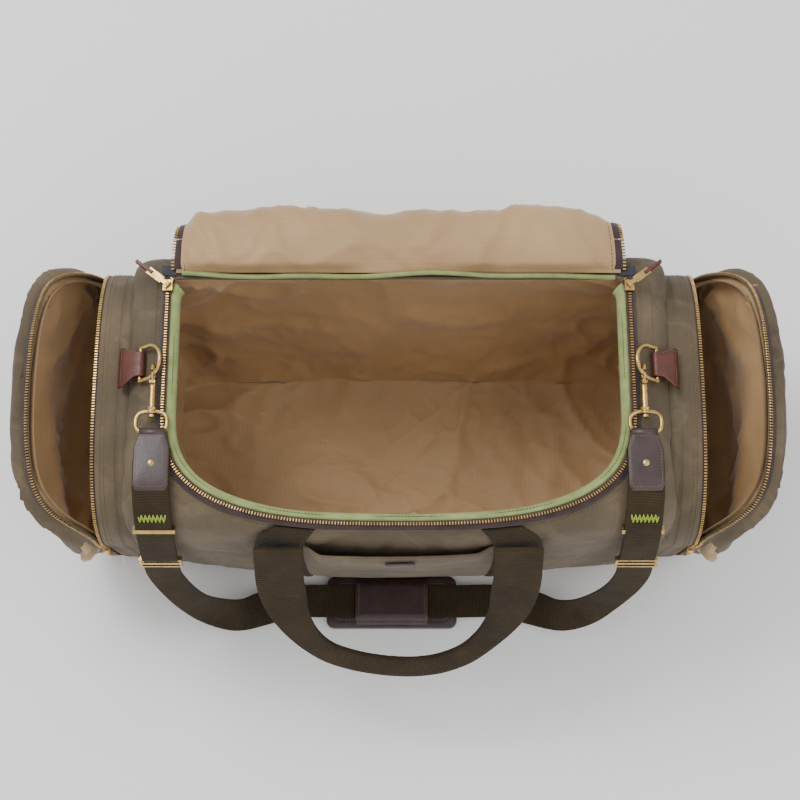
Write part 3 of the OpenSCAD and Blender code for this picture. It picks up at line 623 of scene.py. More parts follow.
def mouth_edge():
    z = BODY_H
    up = np.tile([0.0, 0.0, 1.0], (480, 1))
    outer, inner = mouth_path(-0.001, z), mouth_path(0.006, z)
    ob = strip("mouth_zip_tape", [mouth_path(-0.0048, z - 0.0008), mouth_path(-0.001, z + 0.0012),
                                  mouth_path(0.0042, z + 0.0016)], MAT["zip_tape"], "root", 0.001)
    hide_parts("mouth_tape")
    path = mouth_path(0.0012, z + 0.0018)
    nose = inner - outer
    ob = teeth("mouth_zip_teeth", path, up, nose, "root")
    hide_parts("mouth_teeth")
    wave = 0.0012 * np.sin(np.linspace(0, 46, 480))[:, None] * [0, 0, 1]
    rails = [mouth_path(0.0048, z - 0.0002), mouth_path(0.0072, z + 0.0004) + wave * 0.3, mouth_path(0.0112, z - 0.0016) + wave,
             mouth_path(0.0132, z - 0.0046) + wave, mouth_path(0.0136, z - 0.009)]
    ob = strip("mouth_green_binding", rails, MAT["binding"], "root", 0.0012)
    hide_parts("mouth_binding")
    stitches("mouth_binding_stitch", mouth_path(0.0098, z - 0.0002), up, MAT["dark_thread"], "root", 0.0036, 0.0003)
    for k, out in enumerate((0.0075, 0.0135)):
        p = mouth_path(-out, z)
        level = TOP - out / 0.034
        q = shell([level], np.vstack([side_dirs(3, 80, -0.97, 1), side_dirs(0, 240)[1:], side_dirs(1, 80, -1, 0.97)[1:]]), -0.0006)[0]
        q = even(q, 480)
        stitches("mouth_topstitch_%d" % k, q, up + 0.5 * unit(p - inner), MAT["thread"], "root")


# ---- end pockets ----

def pocket_half_width(z):
    z = np.asarray(z, dtype=float)
    rise = np.clip((z - FLANK_Z) / ARCH_H, 0, 1)
    return np.where(z > FLANK_Z, FLANK_W * (1 - rise ** ARCH_N) ** (1 / ARCH_N), FOOT_W + (FLANK_W - FOOT_W) * z / FLANK_Z)


def arch_levels(z0, n_flank, n_arch):
    """Heights from z0 to the crown, close together where the arch turns over."""
    flank = np.linspace(z0, FLANK_Z, n_flank)[:-1]
    a = np.linspace(0, math.pi / 2, n_arch)
    return np.concatenate([flank, FLANK_Z + ARCH_H * np.sin(a) ** (2 / ARCH_N)])


def bulge(zs, inset, x0, cols=61):
    """The closed pocket's domed end: rows at heights zs, columns from its front edge to its rear edge."""
    z = np.asarray(zs)[:, None]
    rise = np.clip((z - FLANK_Z) / ARCH_H, 0, 1)
    low = np.clip(1 - z / FLANK_Z, 0, 1)
    d = CAP_D * np.where(z > FLANK_Z, 1 - 0.75 * rise ** 3, 1 - 0.25 * low ** 2) - inset
    w = np.maximum(pocket_half_width(z) - inset, 0)
    a = np.linspace(-math.pi / 2, math.pi / 2, cols)[None]
    x = x0 + d * np.abs(np.cos(a)) ** 0.7
    y = SHIFT + POCKET_Y + w * np.sign(a) * np.abs(np.sin(a)) ** 0.85
    z = np.broadcast_to(z - 1.5 * inset * rise, x.shape)
    e = np.clip((x - x0) / CAP_D, 0, 1)
    x = x + 0.021 * np.sin(math.pi * np.clip((z - 0.04) / 0.19, 0, 1)) * e
    out = 0.016 * np.sin(math.pi * np.clip((e - 0.20) / 0.74, 0, 1)) ** 0.9 * smoothstep(z / 0.10)
    away = unit(np.stack([y - SHIFT - POCKET_Y, z - 0.11], axis=-1))
    return np.stack([x, y + away[..., 0] * out, z + away[..., 1] * out * (z > 0.11)], axis=2)


OPEN_FROM, OPEN_TO = 0.150, 0.245


def opened(p):
    """Turns closed points out about the cap's hinge, more the higher they end up."""
    out = p.copy()
    hx, hz = CAP_HINGE[0], CAP_HINGE[2]
    for _ in range(12):
        b = CAP_OPEN * smoothstep((out[..., 2] - OPEN_FROM) / (OPEN_TO - OPEN_FROM))
        dx, dz = p[..., 0] - hx, p[..., 2] - hz
        out[..., 0] = hx + dx * np.cos(b) + dz * np.sin(b)
        out[..., 2] = hz - dx * np.sin(b) + dz * np.cos(b)
    return out


def mirrored(g, s):
    return g * np.array([s, 1.0, 1.0])


def ride_cap(ob):
    """Bakes a pocket piece's placement into its mesh; the piece is not attached to the cap."""
    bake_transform(ob)


def arch_path(x, out, z0, n=200):
    """The pocket's edge at distance x, from its front foot over the crown to its rear foot."""
    a = np.linspace(math.pi, 0, 140)
    c, s = np.cos(a), np.sin(a)
    y = SHIFT + POCKET_Y + (FLANK_W + out) * np.sign(c) * np.abs(c) ** (2 / ARCH_N)
    z = FLANK_Z + (ARCH_H + out) * np.abs(s) ** (2 / ARCH_N)
    zf = np.linspace(z0, FLANK_Z, 30)[:-1]
    w = FOOT_W + (FLANK_W - FOOT_W) * zf / FLANK_Z + out
    front = np.stack([np.full_like(zf, x), SHIFT + POCKET_Y - w, zf], 1)
    rear = np.stack([np.full_like(zf, x), SHIFT + POCKET_Y + w, zf], 1)[::-1]
    return even(np.vstack([front, np.stack([np.full_like(y, x), y, z], 1), rear]), n)


def end_pocket(side, s):
    def place(name, grid, mat, slot, thick, cap=False, flip=False):
        ob = sheet_mesh("%s_%s" % (side, name), mirrored(grid, s), MAT[mat], None if cap else "root",
                        thick=thick, flip=flip != (s < 0), offset=0.0)
        if cap:
            ride_cap(ob)
        return ob

    # domed end panel, its lower part fixed and its upper part opening
    zs = arch_levels(0.003, 26, 46)
    g = bulge(zs, 0.0, RIM_X + CAP_GAP)
    cut = area_of(g)
    n = grid_normals(g)
    n = np.where(n[..., :1] < 0, -n, n)
    edge = smoothstep((g[..., 0] - RIM_X - 0.004) / 0.02)
    g = g + n * ((0.0030 * soft_field(g, 9, 5.5 + s) - 0.0028 * fold_field(g, 14, 2.2 + s)) * edge)[..., None]
    ob = place("pocket_panel", opened(g), "canvas", "canvas", 0.002, cap=True)
    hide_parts(side + "_cap")
    cloth(0.36, 0.30, cut)
    # gusset band from the body's seam to the zip
    xs = np.array([0.272, 0.281, 0.2875, 0.2895, 0.2925, 0.300, 0.308, 0.314, RIM_X - 0.0042])
    swell = np.array([-0.006, -0.001, 0.0022, 0.0002, 0.0012, 0.0016, 0.0014, 0.0008, 0.0])
    band = np.stack([arch_path(x, o, 0.003, 220) for x, o in zip(xs, swell)])
    ob = place("pocket_gusset", band, "canvas", "canvas", 0.002, flip=True)
    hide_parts(side + "_gusset")
    cloth(0.052, length_of(arch_path(0.300, 0.0, 0.003)))
    # foot of the pocket
    foot = bulge([0.003], 0.0, 0.280)[0]
    fold = np.stack([foot * [1, 1, 0] + [0, 0, 0.0012], foot * [0, 1, 0] + [0.281, 0, 0.0012]])
    wide = bulge([0.003], 0.0, RIM_X + CAP_GAP)[0]
    fold[0, :, 0] = wide[:, 0]
    place("pocket_bottom", fold, "canvas", "canvas", 0.0016)
    # lining of the fixed half: end wall and gusset inside
    wall = np.stack([np.stack([np.full(41, 0.2925), SHIFT + POCKET_Y + w * np.linspace(-1, 1, 41), np.full(41, z)], 1)
                     for z, w in [(z, float(pocket_half_width(z)) - 0.004) for z in arch_levels(0.006, 20, 30)]])
    cut = area_of(wall)
    wall[..., 0] += 0.004 + 0.004 * soft_field(wall, 9, 6.6) + 0.003 * fold_field(wall, 14, 3.3)
    ob = place("pocket_wall_lining", wall, "lining", "lining", 0.0)
    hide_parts(side + "_pocket_lining")
    cloth(0.29, 0.25, cut)
    inside = np.stack([arch_path(x, o, 0.006, 200) for x, o in ((0.2935, -0.0052), (0.302, -0.0046), (0.311, -0.0036), (RIM_X - 0.004, -0.0028))])
    ob = place("pocket_gusset_lining", inside, "lining", "lining", 0.0)
    cloth(0.024, length_of(inside[1]))
    # lining of the domed half
    li = bulge(arch_levels(0.006, 22, 40), 0.0055, RIM_X + CAP_GAP - 0.0005, 51)
    n = grid_normals(li)
    n = np.where(n[..., :1] < 0, -n, n)
    edge = smoothstep((li[..., 0] - RIM_X - 0.002) / 0.02)
    cut = area_of(li)
    push = np.clip(0.004 + 0.009 * soft_field(li, 8, 7.7) + 0.011 * fold_field(li, 10, 1.1), 0.003, 0.03)
    li = li - n * (push * edge)[..., None]
    ob = place("pocket_cap_lining", opened(li), "lining", "lining", 0.0, cap=True)
    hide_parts(side + "_cap_lining")
    cloth(0.34, 0.28, cut)
    pocket_zip(side, s, place)


def pocket_zip(side, s, place):
    low = 0.118
    up_in = arch_path(RIM_X, 0.01, low) - arch_path(RIM_X, 0.0, low)
    inner = arch_path(RIM_X - 0.0022, 0.0006, low)
    tape = np.stack([arch_path(RIM_X - 0.0085, 0.0012, low), arch_path(RIM_X - 0.0005, 0.0006, low)])
    ob = place("pocket_tape", tape, "zip_tape", "zip_tape", 0.001, flip=True)
    ob = teeth(side + "_pocket_teeth", mirrored(inner, s), mirrored(up_in, s), np.tile([s, 0, 0], (200, 1)), "root")
    if s < 0:
        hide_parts("pocket_zips")
    x0 = RIM_X + CAP_GAP
    rails = [arch_path(x0 + 0.0005, 0.0006, low), arch_path(x0 + 0.0085, 0.0012, low)]
    ob = place("cap_tape", opened(np.stack(rails)), "zip_tape", "zip_tape", 0.001, cap=True)
    path = opened(arch_path(x0 + 0.0022, 0.0006, low))
    up = opened(arch_path(x0 + 0.0022, 0.0106, low)) - path
    nose = opened(arch_path(x0 - 0.002, 0.0006, low)) - path
    ob = teeth(side + "_cap_teeth", mirrored(path, s), mirrored(up, s), mirrored(nose, s), None)
    ride_cap(ob)
    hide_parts(side + "_cap_zip")
    # stitching beside both chains and along the seam
    lift = arch_path(RIM_X, 0.02, 0.02) - arch_path(RIM_X, 0.0, 0.02)
    for k, x in enumerate((RIM_X - 0.0105, RIM_X - 0.0145, 0.2945)):
        stitches("%s_gusset_stitch_%d" % (side, k), mirrored(arch_path(x, 0.0026, 0.02), s), mirrored(lift, s),
                 MAT["thread"], "root")
    for k, x in enumerate((x0 + 0.0105, x0 + 0.0145)):
        zs = arch_levels(low, 12, 60)
        path = opened(arch_path(x, 0.0008, low, 200))
        ob = stitches("%s_cap_stitch_%d" % (side, k), mirrored(path, s), mirrored(up, s), MAT["thread"], None)
        ride_cap(ob)


# ---- lid ----

LID_A, LID_B = MOUTH_A - 0.0095, MOUTH_F - 0.0125
FOLD_V = 0.068
CUT_V = 0.036
hinge_y, hinge_z = hinge[1], hinge[2]
LID_RISE = math.radians(14)
LID_DROP = math.radians(-88)


def lid_profile(n=400, length=0.30):
    """The folded-back lid's line in Y and Z by distance from its hinge, with its slope."""
    v = np.linspace(0, length, n)
    first = math.radians(34) + (LID_RISE - math.radians(50)) * smoothstep(v / 0.05)
    ang = first + (LID_DROP - (LID_RISE - math.radians(16))) * smoothstep((v - 0.042) / 0.052)
    dv = v[1] - v[0]
    y = hinge_y + np.concatenate([[0], np.cumsum(np.cos(ang[:-1]) * dv)])
    z = hinge_z - 0.001 + np.concatenate([[0], np.cumsum(np.sin(ang[:-1]) * dv)])
    return v, y, z, ang


PROFILE = lid_profile()


def lid_point(x, v, off):
    """A point of the lid: x along the bag, v from the hinge, off above its inner face. The ends bend sooner."""
    pv, py, pz, pa = PROFILE
    x, v = np.asarray(x, dtype=float), np.asarray(v, dtype=float)
    early = 0.015 * smoothstep((np.abs(x) / LID_A - 0.62) / 0.38) ** 2 + 0.004 * np.sin(x * 16 + 1.0)
    early = np.maximum(early, 0.0) * smoothstep(v / 0.03)
    y, z, a = (np.interp(v + early, pv, q) for q in (py, pz, pa))
    y0, z0 = (np.interp(early, pv, q) for q in (py, pz))
    draw = 1 - 0.022 * smoothstep(v / 0.09)
    return np.stack([x * draw, y - (y0 - hinge_y) - np.sin(a) * off, z - (z0 - hinge_z) + np.cos(a) * off], axis=-1)


def lid_reach(x, inset=0.0):
    """Length of the lid from its hinge to its free edge at x."""
    a, b = LID_A - inset, LID_B - inset
    k = np.clip(np.abs(x) / a, 0, 1)
    return (hinge_y - SHIFT) + b * np.maximum(1 - k ** 3, 0) ** (1 / 3)


def lid_grid(v_from, v_to, inset, rows, cols=121):
    a = LID_A - inset
    t = np.linspace(-1, 1, cols)
    x = a * np.sign(t) * (1 - (1 - np.abs(t)) ** 1.6)
    x = np.broadcast_to(x[None], (rows, cols))
    top = lid_reach(x[0], inset) if v_to is None else np.full(cols, v_to)
    r = np.linspace(0, 1, rows)[:, None]
    return x, v_from + (top[None] - v_from) * r


def lid_piece(name, v_from, v_to, rows, off, mat, wrinkle, seed, nodes, flip):
    x, v = lid_grid(v_from, v_to, 0.0, rows)
    p = lid_point(x, v, np.full_like(x, off))
    flat = np.stack([x, v, np.zeros_like(x)], axis=-1)
    cut = area_of(flat)
    edge = smoothstep((LID_A - np.abs(x)) / 0.02) * smoothstep((lid_reach(x) - v) / 0.02) * smoothstep(v / 0.012)
    h = wrinkle * (0.5 + soft_field(flat, 8, seed) * 1.2 + 1.2 * fold_field(flat, 9, seed + 2, 0.6)
                   + 0.12 * fold_field(flat, 26, seed + 5, 0.6)) * edge
    p = lid_point(x, v, off + np.sign(off) * h)
    ob = sheet_mesh(name, p, MAT[mat], None, flip=flip)
    hinge_blend(ob, v_to is not None)
    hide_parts(*nodes)
    cloth(2 * LID_A, float(v.max() - v.min()), cut)
    return ob


def hinge_blend(ob, rear):
    if rear:
        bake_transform(ob)
    else:
        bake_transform(ob)


def lid_edge(n=600):
    """x and v along the lid's free edge from its left hinge end round to its right hinge end."""
    b = hinge_y - SHIFT
    side = np.linspace(0.004, b, 120)
    a = np.linspace(0, math.pi, 300)[1:-1]
    c = -np.cos(a)
    x = LID_A * np.sign(c) * np.abs(c) ** (2 / 3)
    v = b + LID_B * np.abs(np.sin(a)) ** (2 / 3)
    pts = np.vstack([np.stack([np.full_like(side, -LID_A), side], 1), np.stack([x, v], 1),
                     np.stack([np.full_like(side, LID_A), side[::-1]], 1)])
    return even(np.hstack([pts, np.zeros((len(pts), 1))]), n)[:, :2]


def lid_zip():
    e = lid_edge()
    out2 = np.gradient(e, axis=0)
    out2 = unit(np.stack([-out2[:, 1], out2[:, 0]], 1))
    parts = {"rear_left": [], "front": [], "rear_right": []}
    for i, (x, v) in enumerate(e):
        parts["front" if v >= CUT_V - 0.0004 else "rear_left" if x < 0 else "rear_right"].append(i)
    for key, idx in parts.items():
        ee, oo = e[idx], out2[idx]
        at = lambda d, off: lid_point(ee[:, 0] + oo[:, 0] * d, ee[:, 1] + oo[:, 1] * d, np.full(len(ee), off))
        rear = key != "front"
        tape = sheet_mesh("lid_tape_" + key, np.stack([at(-0.0075, 0.0008), at(-0.003, 0.0018), at(0.0022, 0.0012)]), MAT["zip_tape"], None,
                          thick=0.001, offset=0.0)
        hinge_blend(tape, rear)
        chain = teeth("lid_teeth_" + key, at(0.0040, -0.0011), at(0.0040, 0.01) - at(0.0040, 0.0), at(0.01, 0) - at(0, 0), None)
        hinge_blend(chain, rear)
        if key == "front":
            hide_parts("lid_front_zip")
        elif key == "rear_left":
            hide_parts("lid_rear_zip")
        st = stitches("lid_stitch_" + key, at(-0.009, 0.0032), at(-0.009, 0.01) - at(-0.009, 0.0), MAT["dark_thread"], None,
                      0.004, 0.0003)
        hinge_blend(st, rear)


def lid():
    for off, mat, wr, seed, kind in ((0.0012, "lining", 0.0075, 2.0, "_lining"), (-0.0012, "canvas", 0.0012, 6.0, "")):
        a = lid_piece("lid_%s_rear" % mat, 0.0, CUT_V, 16, off, mat, wr, seed, ["lid_rear" + kind], off < 0)
        b = lid_piece("lid_%s_front" % mat, CUT_V, None, 90, off, mat, wr, seed, ["lid_front" + kind], off < 0)
    # green bound fold along the hinge
    x = np.linspace(-LID_A + 0.006, LID_A - 0.006, 160)
    sway = 0.0016 * np.sin(x * 21 + 0.6) + 0.0010 * np.sin(x * 47)
    path = np.stack([x, np.full_like(x, hinge_y - 0.0035) + sway, np.full_like(x, hinge_z + 0.0012) + sway * 0.4], 1)
    tube("lid_fold_binding", path, 0.0026, MAT["binding"], "root", 12)
    lid_zip()


# ---- webbing ----

def grip_path(hang, y0, back):
    """Middle line and cross direction of a carrying handle, from its left end to its right end."""
    plane = [(-BAND_X, -0.004), (-BAND_X, 0.02), (-BAND_X + 0.001, 0.05), (-0.114, 0.088), (-0.098, 0.122),
             (-0.075, 0.149), (-0.048, 0.164), (-0.022, 0.1705), (0, 0.172)]
    plane += [(-x, v) for x, v in plane[-2::-1]]
    p = spline([(x, v, 0) for x, v in plane], 150)
    c, s = math.cos(hang), math.sin(hang) * (1 if back else -1)
    to3 = lambda q: np.stack([q[:, 0], y0 + q[:, 1] * s + q[:, 2] * c, 0.262 - q[:, 1] * c + q[:, 2] * s], 1)
    t = tangents(p)
    across = np.stack([-t[:, 1], t[:, 0], np.zeros(len(t))], 1)
    mid = smoothstep((p[:, 1] - 0.05) / 0.10)
    roll = 0.0016 * np.sin(np.linspace(0, 19, len(p)))
    p[:, 2] += roll * mid
    o = to3(np.zeros((1, 3)))
    return to3(p), to3(across) - o, mid


def handle(name, hang, y0, back):
    centre, across, mid = grip_path(hang, y0, back)
    ob = ribbon(name + "_webbing", centre, across, HANDLE_W - 0.024 * mid, WEB_T * 1.3 + 0.0042 * mid, MAT["webbing"], name)
    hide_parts(name)
    t = tangents(centre)
    normal = np.cross(t, unit(across))
    facing = normal if normal[len(normal) // 2][1] * (1 if back else -1) > 0 else -normal
    inner = mid > 0.75
    c, a, f = centre[inner], unit(across)[inner], facing[inner]
    stitches(name + "_fold_stitch", c + a * 0.0095 + f * 0.0036, f, MAT["dark_thread"], name, 0.004, 0.0005)


def band_patch(x0, x1, t0, t1, out, rows=40, cols=9, back=False):
    xs = np.linspace(x0, x1, cols) / BODY_A
    dirs = np.stack([-xs if back else xs, np.full(cols, 1.0 if back else -1.0)], 1)
    return shell(np.linspace(t0, t1, rows), dirs, -out)


def bands():
    k = 0
    for s in (-1, 1):
        for back in (False, True):
            a, b = s * BAND_X - HANDLE_W / 2, s * BAND_X + HANDLE_W / 2
            g = band_patch(a, b, 1, 6.75 if not back else 6.2, 0.0034, back=back)
            ob = sheet_mesh("handle_band_%d" % k, g, MAT["webbing"], "root", thick=0.002, offset=-1.0)
            if k == 0:
                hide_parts("handle_bands")
            for e, frac in enumerate((0.08, 0.92)):
                x = a + (b - a) * frac
                q = band_patch(x, x + 1e-4, 1, 6.7 if not back else 6.15, 0.0040, 60, 2, back)[:, 0]
                nrm = np.tile([0, 1.0 if back else -1.0, 0.3], (len(q), 1))
                stitches("band_stitch_%d_%d" % (k, e), q, nrm, MAT["dark_thread"], "root")
            k += 1


def slip_pocket():
    ts = np.linspace(1, 5.25, 50)
    stand = 0.0022 + 0.010 * smoothstep((ts - 3.2) / 2.0)
    x = BAND_X - HANDLE_W / 2 + 0.002
    rows = [band_patch(-x, x, t, t, o, 1, 61)[0] for t, o in zip(ts, stand)]
    g = np.stack(rows)
    edge = smoothstep((x - np.abs(g[..., 0])) / 0.02)
    g[..., 1] += (1 - edge) * (stand[:, None] - 0.002) * 0.9
    g[..., 1] -= 0.0022 * soft_field(g, 12, 4.5) * edge
    g[-1, :, 2] += 0.0012
    ob = sheet_mesh("slip_pocket_canvas", g, MAT["canvas"], "root", thick=0.0022, offset=-1.0)
    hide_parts("slip_pocket")
    cloth(2 * x, 0.24)
    hem = g[-4] + [0, -0.0028, 0]
    stitches("slip_pocket_hem", hem, np.tile([0, -1.0, 0.2], (len(hem), 1)), MAT["thread"], "root")
    tag = g[-3:, 26:36] + [0, -0.0030, -0.002]
    tag = np.stack([tag[0] + [0, 0, -0.012], tag[0] + [0, -0.0002, -0.006], tag[0]])
    sheet_mesh("slip_pocket_blank_tab", tag, MAT["tab_leather"], "root", thick=0.0014, offset=0.0)


# ---- shoulder strap ----

STRAP = [
    [(-250, -52, 290.2), (1, 0, 0)], [(-250, -84, 290.2), (1, 0, 0)], [(-249, -108, 284), (1, 0, 0)],
    [(-248, -129.5, 262), (1, 0, 0)], [(-248, -138, 232), (1, 0, 0)], [(-248, -144, 197), (1, 0, 0)],
    [(-248, -150, 162), (1, 0, 0)], [(-238, -157, 128), (0.9, 0.1, 0.3)], [(-222, -163, 92), (0.75, 0.3, 0.6)],
    [(-203, -165, 58), (0.5, 0.6, 0.65)], [(-178, -162, 31), (0.25, 0.85, 0.4)],
    [(-150, -150, 15), (0.08, 1, 0.1)], [(-118, -142, 12), (0, 1, 0)], [(-60, -142, 12), (0, 1, 0)],
    [(0, -142, 12), (0, 1, 0)]]


def strap_route(s, n=170):
    pts = np.array([p for p, _ in STRAP], dtype=float) * MM + [0, SHIFT, 0]
    side = np.array([q for _, q in STRAP], dtype=float)
    both = spline(np.hstack([pts, side * 0.02]), n)
    flip = np.array([-s, 1, 1])
    return both[:, :3] * flip, both[:, 3:] * flip


def strap():
    for s, side in ((-1, "left"), (1, "right")):
        c, a = strap_route(s)
        along = np.concatenate([[0], np.cumsum(np.linalg.norm(np.diff(c, axis=0), axis=1))])
        ripple = 0.0008 * np.sin(along * 60 + s)
        nrm = np.cross(tangents(c), unit(a)) * (1 if s < 0 else -1)
        c = c + nrm * (ripple * smoothstep(along / 0.05) * smoothstep((along[-1] - along) / 0.12))[:, None]
        ob = ribbon(side + "_strap_webbing", c, a, STRAP_W, WEB_T, MAT["webbing"], "strap")
        if s < 0:
            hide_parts("strap_webbing")
        # doubled webbing from the tab to the glide, with its bartack
        sel = (along > 0.012) & (along < 0.150)
        ribbon(side + "_strap_double", c[sel] + nrm[sel] * 0.0030, a[sel], STRAP_W - 0.0006, WEB_T * 0.9, MAT["webbing"], "strap")
        i = int(np.argmin(np.abs(along - 0.072)))
        t = tangents(c)[i]
        aa = unit(a)[i]
        bar = [c[i] + nrm[i] * 0.0046 + aa * x for x in np.linspace(-0.013, 0.013, 14)]
        places = [(p + t * 0.0012 * (-1) ** k, unit(t + aa * 0.2 * (-1) ** k), aa, nrm[i]) for k, p in enumerate(bar)]
        blocks(side + "_bartack", np.array(STITCH) * [0.004, 0.0009, 0.0007], STITCH_FACES, places, MAT["green_thread"], "strap")
        strap_tab(side, s)
        strap_ring(side, s)
        ring_anchor(side, s)


def outline_tab(w, l):
    """Tab that widens from its neck at v 0 to a straight end with cut corners at v l."""
    half = [(w * 0.36, 0), (w * 0.38, l * 0.06), (w * 0.48, l * 0.22), (w * 0.5, l * 0.3), (w * 0.5, l - 0.006), (w * 0.42, l)]
    return [(-x, v) for x, v in half] + half[::-1]


def leather_plate(name, pts, height, thick, to_world, body, mat, crown=0.0006):
    """A cut leather piece: rounded edges and a slight crown."""
    pts = np.asarray(even(np.hstack([np.vstack([pts, pts[:1]]), np.zeros((len(pts) + 1, 1))]), 97)[:-1, :2])
    mid = pts.mean(0)
    rings = []
    for k, z in ((0.0, -1), (0.5, -1), (0.9, -1), (0.985, -0.9), (1.0, -0.3), (1.0, 0.3), (0.985, 0.85), (0.95, 1), (0.7, 1 + crown / thick),
                 (0.35, 1 + 2 * crown / thick), (0.0, 1 + 2.2 * crown / thick)):
        q = mid + (pts - mid) * max(k, 0.01)
        rings.append(np.hstack([q, np.full((len(q), 1), height + z * thick / 2)]))
    g = np.stack(rings)
    world = to_world(g.reshape(-1, 3)).reshape(g.shape)
    uv = g[..., :2].reshape(-1, 2)
    return make(name, world.reshape(-1, 3), grid_faces(len(g), g.shape[1], True), mat, body, uv), pts, mid


def strap_tab(side, s):
    x0, y0 = 0.250 * s, -0.036 + SHIFT

    def world(p):
        drop = np.maximum(p[:, 1] - 0.038, 0) ** 2 * 4.0
        return np.stack([x0 + p[:, 0], y0 - p[:, 1], 0.2935 + p[:, 2] - drop], 1)

    ob, pts, mid = leather_plate(side + "_strap_tab", outline_tab(0.036, 0.062), 0.0010, 0.0030, world, "strap", MAT["tab_leather"])
    if s < 0:
        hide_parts("strap_tabs")
    q = mid + (pts - mid) * 0.86
    q = np.vstack([q, q[:1]])
    line = world(np.hstack([q, np.full((len(q), 1), 0.0028)]))
    stitches(side + "_tab_stitch", line, np.tile([0, -0.1, 1.0], (len(line), 1)), MAT["thread"], "strap", 0.0034, 0.0004)
    # the fold of the tab round its ring
    a = np.linspace(-1.2, 4.2, 16)
    roll = np.stack([np.stack([np.full(2, 0), np.full(2, 0.0) - 0.0042 * math.cos(t) , 0.0042 * math.sin(t) + np.zeros(2)], 1) for t in a])
    roll[:, 0, 0], roll[:, 1, 0] = -0.0135, 0.0135
    w = roll + [x0, -0.036 + SHIFT, 0.292]
    sheet_mesh(side + "_tab_roll", w, MAT["tab_leather"], "strap", thick=0.0018, offset=0.0)
    rivet(side, s, world)


def rivet(side, s, world):
    prof = [(0.0, 1.6), (0.0016, 1.5), (0.0030, 1.0), (0.0037, 0.4), (0.0038, 0.0)]
    a = np.linspace(0, 2 * math.pi, 24, endpoint=False)
    base = world(np.array([[0, 0.033, 0.0028]]))[0]
    g = np.stack([np.stack([base[0] + r * np.cos(a), base[1] + r * np.sin(a), np.full(24, base[2] + h * MM)], 1) for r, h in prof])
    ob = make(side + "_rivet", g.reshape(-1, 3), grid_faces(len(prof), 24, True), MAT["brass"], "strap")
    if s < 0:
        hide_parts("strap_rivets")


def strap_ring(side, s):
    """Rounded ring of the tab, with the boss of the hook's swivel."""
    a = np.linspace(0, 2 * math.pi, 72, endpoint=False)
    c, d = np.cos(a), np.sin(a)
    x = 0.252 * s + 0.016 * np.sign(c) * np.abs(c) ** 0.72
    y = SHIFT - 0.0245 + 0.0118 * np.sign(d) * np.abs(d) ** 0.72
    ring = tube(side + "_strap_ring", np.stack([x, y, np.full(72, 0.292)], 1), 0.0021, MAT["brass"], "strap", 14, True)
    if s < 0:
        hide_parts("strap_rings")
    prof = [(0.0022, -0.0084), (0.0046, -0.0084), (0.0050, -0.0090), (0.0050, -0.0105), (0.0043, -0.0110), (0.0043, -0.0130),
            (0.0050, -0.0136), (0.0050, -0.0152), (0.0045, -0.0157), (0.0022, -0.0157)]
    t = np.linspace(0, 2 * math.pi, 28, endpoint=False)
    g = np.stack([np.stack([0.252 * s + r * np.cos(t), np.full(28, SHIFT + y0), 0.292 + r * np.sin(t)], 1) for r, y0 in prof])
    make(side + "_swivel_boss", g.reshape(-1, 3), grid_faces(len(prof), 28, True), MAT["brass"], "strap")


def ring_anchor(side, s):
    """Leather piece folded round the D-ring's bar and sewn down to the shoulder."""
    cx, cz, r, mid = 0.268, 0.278, 0.0040, SHIFT + 0.0435
    turn = [(cx + r * math.cos(t), cz + r * math.sin(t)) for t in np.radians(np.linspace(265, 75, 14))]
    path = np.array([(0.2765, 0.2722)] + turn + [(0.2745, 0.2800), (0.2800, 0.2768), (0.2862, 0.2715), (0.2915, 0.2655)])
    along = np.linspace(0, 1, len(path))
    half = 0.0135 + 0.0085 * smoothstep((path[:, 0] - 0.271) / 0.018) * (along > 0.5)
    t = np.linspace(-1, 1, 21)
    g = np.stack([np.stack([np.full(21, x * s), mid + h * t, z + 0.0004 * np.sin(t * 5)], 1) for (x, z), h in zip(path, half)])
    ob = sheet_mesh(side + "_ring_anchor", g, MAT["leather"], "root", thick=0.0018, flip=s > 0, offset=0.0)
    if s < 0:
        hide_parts("dring_anchors")
    for k, f in enumerate((-0.86, 0.86)):
        line = np.stack([[x * s, mid + h * f, z + 0.0013] for (x, z), h in list(zip(path, half))[15:]])
        stitches("%s_anchor_stitch_%d" % (side, k), even(line, 30), np.tile([0.5 * s, 0, 1.0], (30, 1)), MAT["thread"], "root",
                 0.0034, 0.0004)
    end = np.stack([np.full(20, (path[-1][0] - 0.0022) * s), mid + half[-1] * np.linspace(-0.86, 0.86, 20), np.full(20, path[-1][1] + 0.0040)], 1)
    stitches(side + "_anchor_end_stitch", end, np.tile([0.7 * s, 0, 1.0], (20, 1)), MAT["thread"], "root", 0.0034, 0.0004)


